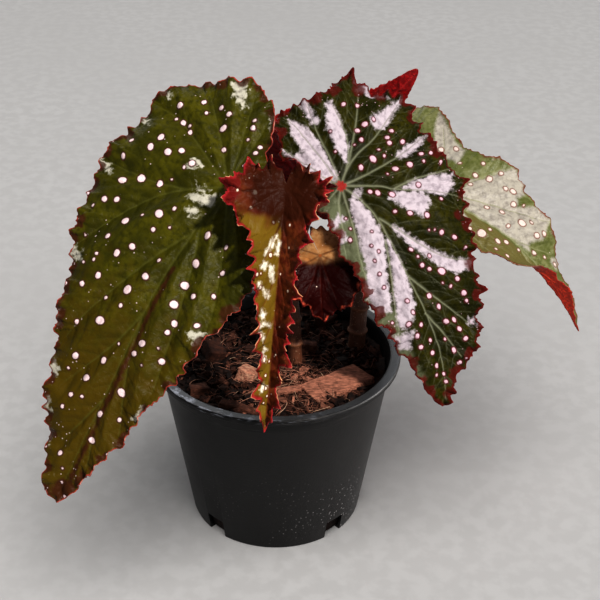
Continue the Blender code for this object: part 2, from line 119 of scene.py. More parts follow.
def between(tree, value, low, high):
    """0 below low, 1 above high and a smooth step from one to the other."""
    step = {"Value": value, "From Min": low, "From Max": high}
    return node(tree, "MapRange", step, interpolation_type="SMOOTHSTEP").outputs[0]


def grain(tree, places, scale, detail=2.0):
    """Soft noise from 0 to 1."""
    return node(tree, "TexNoise", {"Vector": places, "Scale": scale, "Detail": detail}).outputs[0]


def stretched(tree, place, scale):
    """Places scaled apart along the three axes, so that noise over them turns into streaks."""
    return node(tree, "Mapping", {"Vector": place, "Scale": scale}).outputs[0]


def cells(tree, place, scale):
    """How far each place is from the middle of its cell: small round dots once it is cut off."""
    return node(tree, "TexVoronoi", {"Vector": place, "Scale": scale}).outputs["Distance"]


def mesh_value(tree, name):
    """A number that the mesh itself carries at each point."""
    return node(tree, "Attribute", attribute_name=name).outputs["Fac"]


def new_finish(name, roughness, **fixed):
    """A material with its own shader; fixed sets the shader's numbers that are the same all over."""
    finish = bpy.data.materials.new(name)
    finish.use_nodes = True
    shader = finish.node_tree.nodes["Principled BSDF"]
    shader.inputs["Roughness"].default_value = roughness
    for socket, value in fixed.items():
        shader.inputs[socket.replace("_", " ")].default_value = value
    return finish, finish.node_tree, shader


def raise_surface(tree, shader, height):
    """Feeds a height in millimetres to the shader as bump."""
    bump = node(tree, "Bump", {"Height": height, "Distance": 0.001})
    tree.links.new(bump.outputs[0], shader.inputs["Normal"])


def black_plastic():
    """Dull black plastic: faint upright flow marks, scuffs under the lip and specks of dried dirt."""
    finish, tree, shader = new_finish("pot_plastic", 0.40, Specular_IOR_Level=0.22)
    place = node(tree, "TexCoord").outputs["Object"]
    cloudy = grain(tree, place, 60.0, 4.0)
    flow = grain(tree, stretched(tree, place, (420.0, 420.0, 6.0)), 1.0)
    scuff = grain(tree, stretched(tree, place, (60.0, 60.0, 2600.0)), 1.0, 3.0)
    scuff = between(tree, scuff, 0.66, 0.74)
    height = node(tree, "SeparateXYZ", {0: place}).outputs
    near_lip = between(tree, height[2], 0.0700, 0.0860)
    scuff = times(tree, scuff, times(tree, near_lip, 0.45))
    dirt = between(tree, minus(tree, 0.21, cells(tree, place, 480.0)), 0.0, 0.10)
    dirty = between(tree, grain(tree, place, 38.0), 0.44, 0.60)
    low = between(tree, height[2], 0.0620, 0.0200)
    dirt = times(tree, dirt, times(tree, dirty, low))
    black = blend(tree, cloudy, (0.0026, 0.0025, 0.0026, 1), (0.0068, 0.0064, 0.0064, 1))
    black = blend(tree, times(tree, flow, 0.35), black, (0.014, 0.0125, 0.012, 1))
    black = blend(tree, scuff, black, (0.16, 0.155, 0.15, 1))
    worn = grain(tree, stretched(tree, place, (240.0, 240.0, 1400.0)), 1.0, 4.0)
    worn = between(tree, worn, 0.53, 0.66)
    worn = times(tree, worn, between(tree, height[2], 0.0850, 0.0866))
    worn = times(tree, worn, between(tree, height[0], 0.045, -0.030))
    black = blend(tree, times(tree, worn, 0.7), black, (0.17, 0.18, 0.21, 1))
    black = blend(tree, times(tree, dirt, 0.6), black, (0.19, 0.18, 0.18, 1))
    tree.links.new(black, shader.inputs["Base Color"])
    dull = plus(tree, times(tree, cloudy, 0.16), times(tree, dirt, 0.3))
    tree.links.new(plus(tree, dull, 0.36), shader.inputs["Roughness"])
    fine = grain(tree, place, 900.0)
    raise_surface(tree, shader, plus(tree, times(tree, fine, 0.03), times(tree, flow, 0.03)))
    return finish


def pot_inner_radius(height):
    """Inside radius of the tapered wall at a height."""
    rise = height / (POT_HEIGHT - POT_LIP_DROP)
    return POT_FOOT_RADIUS + (POT_SHOULDER_RADIUS - POT_FOOT_RADIUS) * rise - POT_WALL - POT_BAND_STEP


def cut(piece, tool):
    """Cuts one piece out of another and clears the tool away."""
    saw = piece.modifiers.new("cut", "BOOLEAN")
    saw.operation = "DIFFERENCE"
    saw.object = tool
    cut_mesh = bpy.data.meshes.new_from_object(piece.evaluated_get(bpy.context.evaluated_depsgraph_get()))
    piece.modifiers.clear()
    piece.data = cut_mesh
    bpy.data.objects.remove(tool, do_unlink=True)


def make_pot():
    """Spins the wall's outline round the upright axis, then cuts the slots."""
    under_lip = POT_HEIGHT - POT_LIP_DROP
    band_foot = under_lip - POT_BAND_HEIGHT
    mouth = pot_inner_radius(under_lip)
    edge = POT_WALL / 2
    wall = [
        # radius and height: out along the floor, up the inside, over the lip and down the outside
        (0, POT_WALL), (pot_inner_radius(POT_WALL) - POT_FILLET, POT_WALL),
        (pot_inner_radius(POT_WALL), POT_WALL + POT_FILLET), (mouth, under_lip - 0.0010),
        (mouth + 0.0003, under_lip + 0.0012), (mouth + 0.0010, POT_HEIGHT - 0.0006),
        (mouth + 0.0019, POT_HEIGHT - 0.0002), (POT_LIP_RADIUS - 0.0014, POT_HEIGHT - 0.0002),
        (POT_LIP_RADIUS - 0.0009, POT_HEIGHT), (POT_LIP_RADIUS - 0.0004, POT_HEIGHT - 0.0001),
        (POT_LIP_RADIUS - 0.0001, POT_HEIGHT - 0.0005), (POT_LIP_RADIUS, POT_HEIGHT - 0.0010),
        (POT_LIP_RADIUS - 0.0002, under_lip + 0.0005), (POT_LIP_RADIUS - 0.0007, under_lip),
        (POT_SHOULDER_RADIUS + 0.0004, under_lip), (POT_SHOULDER_RADIUS, under_lip - 0.0006),
        (POT_SHOULDER_RADIUS - edge, band_foot), (POT_SHOULDER_RADIUS - edge - 0.0002, band_foot - 0.0004),
        (POT_SHOULDER_RADIUS - edge - POT_BAND_STEP, band_foot - 0.0007),
        (POT_FOOT_RADIUS, POT_WALL), (POT_FOOT_RADIUS - 0.0003, 0.0003), (POT_FOOT_RADIUS - POT_WALL, 0),
        (0, 0),
    ]
    bm = bmesh.new()
    verts = [bm.verts.new((radius, 0, height)) for radius, height in wall]
    edges = [bm.edges.new(pair) for pair in zip(verts, verts[1:])]
    bmesh.ops.spin(bm, geom=verts + edges, axis=(0, 0, 1), angle=math.tau, steps=POT_SPIN_STEPS,
                   use_merge=True)
    bmesh.ops.remove_doubles(bm, verts=bm.verts, dist=POT_WELD)
    bmesh.ops.recalc_face_normals(bm, faces=bm.faces)
    pot = add_piece("nursery_pot", bm, [])

    bm = bmesh.new()
    size = Matrix.Diagonal((SLOT_WIDTH, 2 * SLOT_DEPTH, 2 * SLOT_HEIGHT, 1))
    for turn in SLOT_TURNS:
        for side in (-1, 1):
            turned = Matrix.Rotation(math.radians(side * turn), 4, "Z")
            place = turned @ Matrix.Translation((0, -POT_FOOT_RADIUS, 0))
            bmesh.ops.create_cube(bm, size=1.0, matrix=place @ size)
    bmesh.ops.bevel(bm, geom=bm.edges[:], offset=SLOT_CORNER, segments=3, profile=0.5, affect="EDGES",
                    material=-1)
    cut(pot, add_piece("slots", bm, []))
    pot.data.materials.clear()
    pot.data.materials.append(black_plastic())
    pot.data.shade_smooth()
    pot.data.set_sharp_from_angle(angle=POT_SHARP)
    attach(pot, "root")
    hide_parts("pot")


make_pot()


# The potting mix
# Loose chips of pine bark and strips of coconut husk heaped to just under the lip, nearly black where damp
# and pinkish brown where dry. Pale husk fibres stick out between the chips.
MIX_GAP = 0.0003
MIX_LEVEL = 0.0792
MIX_RINGS = 60
MIX_TURNS = 150
MIX_RELIEF = 0.0022
MIX_SEED = 11
WELD = 1e-6
HEAP_DRYNESS = 0.12
HEAP_MOTTLE = 0.35
CHIP_COUNT = 2300
CHIP_BATCH = 50
CHIP_CREASE = 0.00018
CHIP_CLEAR = 0.0045
CHIP_LENGTH = (0.0014, 0.0075)
CHIP_THICKNESS = (0.0006, 0.0024)
CHIP_LIFT = 0.0020
CHIP_LEAN = 0.4
DRY_PLACE = (0.012, -0.022)
DRY_RADIUS = 0.022
LARGE_CHIP_EDGE = 0.0011
LARGE_CHIP_ROUGHNESS = 0.0005
FIBRE_COUNT = 640
FIBRE_RADIUS = 0.00016
FIBRE_POINTS = 7
FIBRE_LENGTH = (0.004, 0.012)
FIBRE_LIFT = 0.0012
FIBRE_BOW = 0.3
FIBRE_EASE = 0.3
FIBRE_CLEAR = 0.008
FIBRE_END_CLEAR = 0.003
FIBRE_PATCH = (0.010, -0.024)
FIBRE_PATCH_RADIUS = 0.020
LARGE_CHIPS = [
    # length, width, thickness, place, turn, tilt in degrees, dryness
    (0.0330, 0.0160, 0.0032, (0.0290, -0.0220, 0.0822), 33, (8, -4), 0.84),
    (0.0125, 0.0105, 0.0095, (-0.0130, -0.0150, 0.0815), 70, (15, 20), 1.1),
    (0.0260, 0.0055, 0.0040, (-0.0140, -0.0400, 0.0802), -12, (5, 10), 0.50),
    (0.0110, 0.0075, 0.0055, (-0.0350, -0.0270, 0.0812), 20, (-12, 6), 0.45),
    (0.0120, 0.0095, 0.0075, (-0.0300, 0.0040, 0.0828), 115, (18, -10), 0.30),
    (0.0100, 0.0065, 0.0085, (0.0150, 0.0080, 0.0825), 15, (6, 12), 0.55),
    (0.0170, 0.0095, 0.0045, (-0.0060, 0.0330, 0.0812), 150, (-8, 9), 0.50),
    (0.0150, 0.0075, 0.0055, (0.0240, 0.0360, 0.0817), 60, (10, 12), 0.35),
    (0.0150, 0.0050, 0.0022, (0.0060, -0.0270, 0.0822), 12, (4, -3), 0.80),
    (0.0110, 0.0040, 0.0020, (0.0010, -0.0330, 0.0815), -24, (-6, 4), 0.62),
]


def bark():
    """Bark and husk. The dryness of each chip sets how pale it is; fibres streak it along."""
    finish, tree, shader = new_finish("bark_and_husk", 0.85, Specular_IOR_Level=0.25)
    place = node(tree, "TexCoord").outputs["Object"]
    dry = mesh_value(tree, "dryness")
    mottle = grain(tree, place, 420.0, 5.0)
    streak_place = node(tree, "Mapping", {"Vector": place, "Rotation": (0.2, 0.1, 0.6),
                                          "Scale": (300.0, 2400.0, 1500.0)}).outputs[0]
    streak = grain(tree, streak_place, 1.0, 3.0)
    dry = plus(tree, dry, swing(tree, mottle, 0.7))
    damp = blend(tree, between(tree, dry, 0.0, 0.5), (0.006, 0.0018, 0.0010, 1), (0.070, 0.022, 0.011, 1))
    colour = blend(tree, between(tree, dry, 0.4, 1.0), damp, (0.46, 0.200, 0.130, 1))
    colour = blend(tree, between(tree, dry, 1.0, 1.5), colour, (0.80, 0.58, 0.40, 1))
    dark_streak = between(tree, streak, 0.55, 0.40)
    colour = blend(tree, times(tree, dark_streak, 0.55), colour, (0.020, 0.007, 0.004, 1))
    tree.links.new(colour, shader.inputs["Base Color"])
    raise_surface(tree, shader, plus(tree, times(tree, streak, 0.5), times(tree, mottle, 0.5)))
    return finish


def mix_level(x, y):
    """Level of the heap at a place."""
    lumps = noise.noise((x * 130, y * 130, 3.1)) + 0.5 * noise.noise((x * 300, y * 300, 7.7))
    return MIX_LEVEL + MIX_RELIEF * lumps


def lay_chip(bm, dryness, size, place, turn, tilt, rng, least):
    """Lays one rough block on the heap; each corner is knocked in, at most to the least share."""
    laid = (Matrix.Translation(place) @ Matrix.Rotation(turn, 4, "Z") @ Matrix.Rotation(tilt[0], 4, "X")
            @ Matrix.Rotation(tilt[1], 4, "Y"))
    block = bmesh.ops.create_cube(bm, size=1.0)["verts"]
    for vert in block:
        knock = [rng.uniform(least, 1.0) for _ in range(3)]
        vert.co = laid @ Vector([vert.co[k] * size[k] * knock[k] for k in range(3)])
        vert[bm.verts.layers.float["dryness"]] = dryness
    return block


def pour(bm, heaped):
    """Adds a small mesh to a large one, which keeps the work on each small."""
    batch = bpy.data.meshes.new("batch")
    bm.to_mesh(batch)
    bm.free()
    heaped.from_mesh(batch)
    bpy.data.meshes.remove(batch)


def lay_fibre(strewn, line, way, pale, radius):
    """Draws a small three-sided ring along a line and adds the thread to the rest."""
    bm = bmesh.new()
    dryness = bm.verts.layers.float.new("dryness")
    ring = bmesh.ops.create_circle(bm, segments=3, radius=radius,
                                   matrix=Matrix.Rotation(math.pi / 2, 4, "Y"))["verts"]
    turned = Matrix.Rotation(way, 4, "Z")
    for vert in ring:
        vert.co = line[0] + turned @ vert.co
    edges = list({edge for vert in ring for edge in vert.link_edges})
    for a, b in zip(line, line[1:]):
        grown = bmesh.ops.extrude_edge_only(bm, edges=edges)["geom"]
        edges = [part for part in grown if isinstance(part, bmesh.types.BMEdge)]
        ring_end = [part for part in grown if isinstance(part, bmesh.types.BMVert)]
        bmesh.ops.translate(bm, verts=ring_end, vec=b - a)
        ring += ring_end
    for vert in ring:
        vert[dryness] = pale
    bmesh.ops.holes_fill(bm, edges=[edge for edge in bm.edges if edge.is_boundary], sides=3)
    bmesh.ops.recalc_face_normals(bm, faces=bm.faces)
    pour(bm, strewn)


def make_mix():
    """The heap, then the small chips, the large ones and the fibres that lie on it."""
    rng = random.Random(MIX_SEED)
    top_radius = pot_inner_radius(MIX_LEVEL) - MIX_GAP
    bm = bmesh.new()
    dryness = bm.verts.layers.float.new("dryness")
    bmesh.ops.create_grid(bm, x_segments=MIX_TURNS, y_segments=MIX_RINGS, size=0.5)
    for vert in bm.verts:
        angle = (vert.co.x + 0.5) * math.tau
        far = top_radius * (0.5 - vert.co.y)
        x, y = far * math.cos(angle), far * math.sin(angle)
        vert[dryness] = HEAP_DRYNESS + HEAP_MOTTLE * noise.noise((x * 90, y * 90, 1.3))
        vert.co = (x, y, mix_level(x, y))
    bmesh.ops.remove_doubles(bm, verts=bm.verts, dist=WELD)
    rim = [edge for edge in bm.edges if edge.is_boundary]
    skirt = bmesh.ops.extrude_edge_only(bm, edges=rim)["geom"]
    foot = POT_WALL + MIX_GAP
    foot_radius = pot_inner_radius(foot) - MIX_GAP - POT_FILLET
    for vert in [part for part in skirt if isinstance(part, bmesh.types.BMVert)]:
        vert.co = (vert.co.x * foot_radius / top_radius, vert.co.y * foot_radius / top_radius, foot)
    bmesh.ops.holes_fill(bm, edges=[edge for edge in bm.edges if edge.is_boundary], sides=0)
    bmesh.ops.recalc_face_normals(bm, faces=bm.faces)
    mix_bark = bark()
    heap = add_piece("bark_heap", bm, [mix_bark])
    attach(heap, "root")
    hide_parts("potting_mix")

    heaped = bmesh.new()
    for k in range(CHIP_COUNT):
        if k % CHIP_BATCH == 0:
            bm = bmesh.new()
            bm.verts.layers.float.new("dryness")
        angle = rng.uniform(0, math.tau)
        far = (top_radius - CHIP_CLEAR) * math.sqrt(rng.random())
        x, y = far * math.cos(angle), far * math.sin(angle)
        length = CHIP_LENGTH[0] + CHIP_LENGTH[1] * rng.random() ** 2.2
        size = (length, length * rng.uniform(0.25, 0.75), min(length * 0.6, rng.uniform(*CHIP_THICKNESS)))
        dry_patch = max(0.0, 1 - math.hypot(x - DRY_PLACE[0], y - DRY_PLACE[1]) / DRY_RADIUS)
        pale = max(0.0, rng.gauss(0.20, 0.22)) + 0.45 * dry_patch
        place = (x, y, mix_level(x, y) + rng.uniform(0.0, CHIP_LIFT))
        turn, tilt = rng.uniform(0, math.tau), (rng.gauss(0, CHIP_LEAN), rng.gauss(0, CHIP_LEAN))
        lay_chip(bm, pale, size, place, turn, tilt, rng, 0.4)
        if k % CHIP_BATCH == CHIP_BATCH - 1:
            bmesh.ops.bevel(bm, geom=bm.edges[:], offset=CHIP_CREASE, segments=1, profile=0.5, affect="EDGES",
                            clamp_overlap=True, material=-1)
            pour(bm, heaped)
    chips = add_piece("bark_chips", heaped, [mix_bark], smooth=False)
    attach(chips, "root")

    bm = bmesh.new()
    bm.verts.layers.float.new("dryness")
    for length, width, thick, place, turn, tilt, dry in LARGE_CHIPS:
        lay_chip(bm, dry, (length, width, thick), place, math.radians(turn),
                 (math.radians(tilt[0]), math.radians(tilt[1])), rng, 0.7)
    bmesh.ops.bevel(bm, geom=bm.edges[:], offset=LARGE_CHIP_EDGE, segments=3, profile=0.5, affect="EDGES",
                    clamp_overlap=True, material=-1)
    bmesh.ops.subdivide_edges(bm, edges=bm.edges[:], cuts=3, use_grid_fill=True)
    bmesh.ops.triangulate(bm, faces=[face for face in bm.faces if len(face.verts) > 4])
    bm.normal_update()
    for vert in bm.verts:
        bump = noise.noise(vert.co * 260) + 0.6 * noise.noise(vert.co * 700)
        vert.co += vert.normal * bump * LARGE_CHIP_ROUGHNESS
    large = add_piece("large_bark_chips", bm, [mix_bark])
    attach(large, "root")

    strewn = bmesh.new()
    for i in range(FIBRE_COUNT):
        middle = FIBRE_PATCH if i % 2 else (0.0, 0.0)
        reach = FIBRE_PATCH_RADIUS if i % 2 else top_radius - FIBRE_CLEAR
        angle = rng.uniform(0, math.tau)
        far = reach * math.sqrt(rng.random())
        x, y = middle[0] + far * math.cos(angle), middle[1] + far * math.sin(angle)
        start = Vector((x, y, mix_level(x, y) + FIBRE_LIFT))
        way = rng.uniform(0, math.tau)
        length = rng.uniform(*FIBRE_LENGTH)
        level = Vector((math.cos(way), math.sin(way), 0)) * length
        bow = Vector((rng.uniform(-1, 1), rng.uniform(-1, 1), 0.5)) * length * FIBRE_BOW
        end = start + level + Vector((0, 0, rng.uniform(-0.001, 0.0025)))
        if math.hypot(end.x, end.y) > top_radius - FIBRE_END_CLEAR:
            continue
        ease = level * FIBRE_EASE
        line = interpolate_bezier(start, start + ease + bow, end - ease + bow, end, FIBRE_POINTS)
        lay_fibre(strewn, line, way, rng.uniform(0.5, 1.35), FIBRE_RADIUS * rng.uniform(0.5, 1.0))
    fibres = add_piece("husk_fibres", strewn, [mix_bark])
    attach(fibres, "root")


make_mix()


# The canes
# Two jointed stems that rise from the mix. Each joint is a raised ring where a leaf has grown; the bark
# between is brown with pale dots, and the top ends in a blunt bud.
CANE_SIDES = 20
CANE_SINK = 0.0105
NODE_SWELL = 0.26
NODE_SPACING = 0.0125
NODE_HALF = 0.0020
CANE_TAPER = 0.25
CANE_STEP = 0.0005
BUD_TIP = 0.35
BUD_LENGTH = 3
SPAN_POINTS = 24
SKIN_ROUGHNESS = 0.03
CANES = {
    # radius, points of the middle line from the foot in the mix to the bud
    "cane_left": (0.0034, [(0.0090, 0.0010, 0.0590), (0.0090, 0.0010, 0.0860), (0.0070, 0.0030, 0.1150),
                           (0.0020, 0.0060, 0.1450), (-0.0010, 0.0050, 0.1720)]),
    "cane_right": (0.0042, [(0.0390, 0.0130, 0.0590), (0.0390, 0.0130, 0.0860), (0.0400, 0.0150, 0.1080),
                            (0.0420, 0.0190, 0.1300), (0.0420, 0.0210, 0.1480)]),
}


def even_line(points, step):
    """A smooth line through the given points, cut into equal steps of about a length, and the way walked."""
    points = np.array(points, float)
    ends = np.vstack([2 * points[:1] - points[1:2], points, 2 * points[-1:] - points[-2:-1]])
    t = np.linspace(0, 1, SPAN_POINTS, endpoint=False)[:, None]
    spans = [0.5 * (2 * b + (c - a) * t + (2 * a - 5 * b + 4 * c - d) * t ** 2
                    + (3 * b - a - 3 * c + d) * t ** 3)
             for a, b, c, d in zip(ends, ends[1:], ends[2:], ends[3:])]
    line = np.vstack(spans + [points[-1:]])
    walked = np.concatenate([[0], np.cumsum(np.linalg.norm(np.diff(line, axis=0), axis=1))])
    stops = np.linspace(0, walked[-1], max(2, round(walked[-1] / step)) + 1)
    return np.stack([np.interp(stops, walked, axis) for axis in line.T], -1), stops


def stem(bm, line, radii, sides):
    """Skins a line with a round stem, closed at both ends."""
    grid = bmesh.ops.create_grid(bm, x_segments=sides, y_segments=len(line) - 1, size=0.5)["verts"]
    across = Vector((0.3, 0.2, 1)).cross(line[1] - line[0]).normalized()
    sections = []
    for k, place in enumerate(line):
        along = (line[min(k + 1, len(line) - 1)] - line[max(k - 1, 0)]).normalized()
        across = (across - along * across.dot(along)).normalized()
        sections.append((place, across, along.cross(across)))
    for vert in grid:
        k = round((vert.co.y + 0.5) * (len(line) - 1))
        turn = (vert.co.x + 0.5) * math.tau
        place, across, over = sections[k]
        uneven = 1 + SKIN_ROUGHNESS * noise.noise(Vector((math.cos(turn) * 2, math.sin(turn) * 2, k * 0.35)))
        vert.co = place + (across * math.cos(turn) + over * math.sin(turn)) * radii[k] * uneven
    bmesh.ops.remove_doubles(bm, verts=grid, dist=WELD)
    bmesh.ops.holes_fill(bm, edges=[edge for edge in bm.edges if edge.is_boundary], sides=0)
    bmesh.ops.recalc_face_normals(bm, faces=bm.faces)


def cane_radius(name, distance, length):
    """The cane thins towards its growing point, which is blunt."""
    radius = CANES[name][0]
    bud = min(1.0, BUD_TIP + (length - distance) / (BUD_LENGTH * radius))
    return radius * bud * (1 - CANE_TAPER * (distance / length) ** 2)


def cane_skin():
    """Brown cane bark: redder by the joints, with pale raised dots and fine cracks along it."""
    finish, tree, shader = new_finish("cane", 0.55)
    place = node(tree, "TexCoord").outputs["Object"]
    ring = mesh_value(tree, "joint_ring")
    cloudy = grain(tree, place, 220.0, 4.0)
    crack = grain(tree, stretched(tree, place, (1800.0, 1800.0, 160.0)), 1.0, 3.0)
    dot = between(tree, cells(tree, place, 700.0), 0.26, 0.16)
    colour = blend(tree, cloudy, (0.055, 0.014, 0.006, 1), (0.19, 0.070, 0.032, 1))
    colour = blend(tree, times(tree, ring, 0.7), colour, (0.27, 0.115, 0.052, 1))
    colour = blend(tree, times(tree, dot, 0.5), colour, (0.42, 0.27, 0.16, 1))
    tree.links.new(colour, shader.inputs["Base Color"])
    raise_surface(tree, shader, plus(tree, times(tree, crack, 0.25), times(tree, dot, 0.15)))
    return finish


cane_bark = cane_skin()
cane_lines = {}
for cane_name, (_, cane_points) in CANES.items():
    line, walked = even_line(cane_points, CANE_STEP)
    cane_lines[cane_name] = (line, walked)
    joints = np.arange(NODE_SPACING / 2, walked[-1] - NODE_HALF, NODE_SPACING)
    nearest = np.abs(walked[:, None] - joints[None, :]).min(axis=1)
    ring = np.clip(1 - nearest / NODE_HALF, 0, 1) ** 1.5
    radii = [cane_radius(cane_name, way, walked[-1]) for way in walked]
    radii = [radius * (1 + NODE_SWELL * swell) for radius, swell in zip(radii, ring)]
    start = int(np.searchsorted(walked, CANE_SINK))
    bm = bmesh.new()
    stem(bm, [Vector(place) for place in line[start:]], radii[start:], CANE_SIDES)
    cane = add_piece(cane_name.replace("cane", "jointed_cane"), bm, [cane_bark])
    centre = KDTree(len(line))
    for k, place in enumerate(line):
        centre.insert(place, k)
    centre.balance()
    swells = [float(ring[centre.find(vert.co)[1]]) for vert in cane.data.vertices]
    cane.data.attributes.new("joint_ring", "FLOAT", "POINT").data.foreach_set("value", swells)
    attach(cane, "root")
    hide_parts(cane_name)


# The leaf blades
# Six wing-shaped begonia leaves. A blade is thin and fleshy, puffed up between sunk veins, with a toothed,
# frilled red margin, raised white spots and, on most, glossy silver patches; its underside is deep red.
# Many silver patches are painted reflections and glints, and the front, inner and left leaves carry
# painted shade in their colours.
BLADE_THICKNESS = 0.00045
MIDRIB_SOFTNESS = 3.0
MIDRIB_EASE = 7
JOINT_EASE = 14
PUFF_EASE = 12
RIM_EASE = 9
CLEFT_DEPTH = 1.3
EDGE_STEP = 0.75
ROW_STEP = 0.866
GRID_SHAKE = 0.1
GRID_CLEAR = 0.55
RUFFLE_DEPTH = 7.0
FOLD_REACH = 30.0
TOOTH_LEAN = 0.62
TOOTH_PITCHES = (0.5, 1.5)
TOOTH_HEIGHTS = (0.3, 1.25)
TOOTH_POINT = 1.6
RIB_STEP = 0.3
RIB_WIDTH = (0.75, 0.28)
RIB_PUFF = 5.0
RIB_SINK = 0.40
TWIG_STEP = 0.5
TWIG_WIDTH = (0.34, 0.16)
TWIG_PUFF = 1.5
TWIG_RISE = 0.40
TWIG_SINK = 0.14
TWIG_FIRST = (4, 7)
TWIG_END = 0.93
TWIG_LEAST = 3
TWIG_SPACING = 7.5
TWIG_SCATTER = (0.75, 1.25)
TWIG_LENGTH = 24.0
TWIG_SLANT = (42, 58)
TWIG_TURN = (0.5, 1.8)
TWIG_CLEAR = 1.2
TWIG_MARGIN = 0.8
FRILL_DEPTH = 3.2
SPOT_SIZE = 0.43
SPOT_STRETCH = (0.88, 1.0)
STRAY_SPOTS = (1.2, 3.2)
NO_SPOT = -4.0
NO_SILVER_AND_GLINT = -6.0
SPOT_RISE = 0.32
LUMP_RISE = (0.28, 0.07)
LUMP_SIZE = (7.0, 1.8)
BLUSH_SIZE = 0.62
UV_SCALE = 0.01
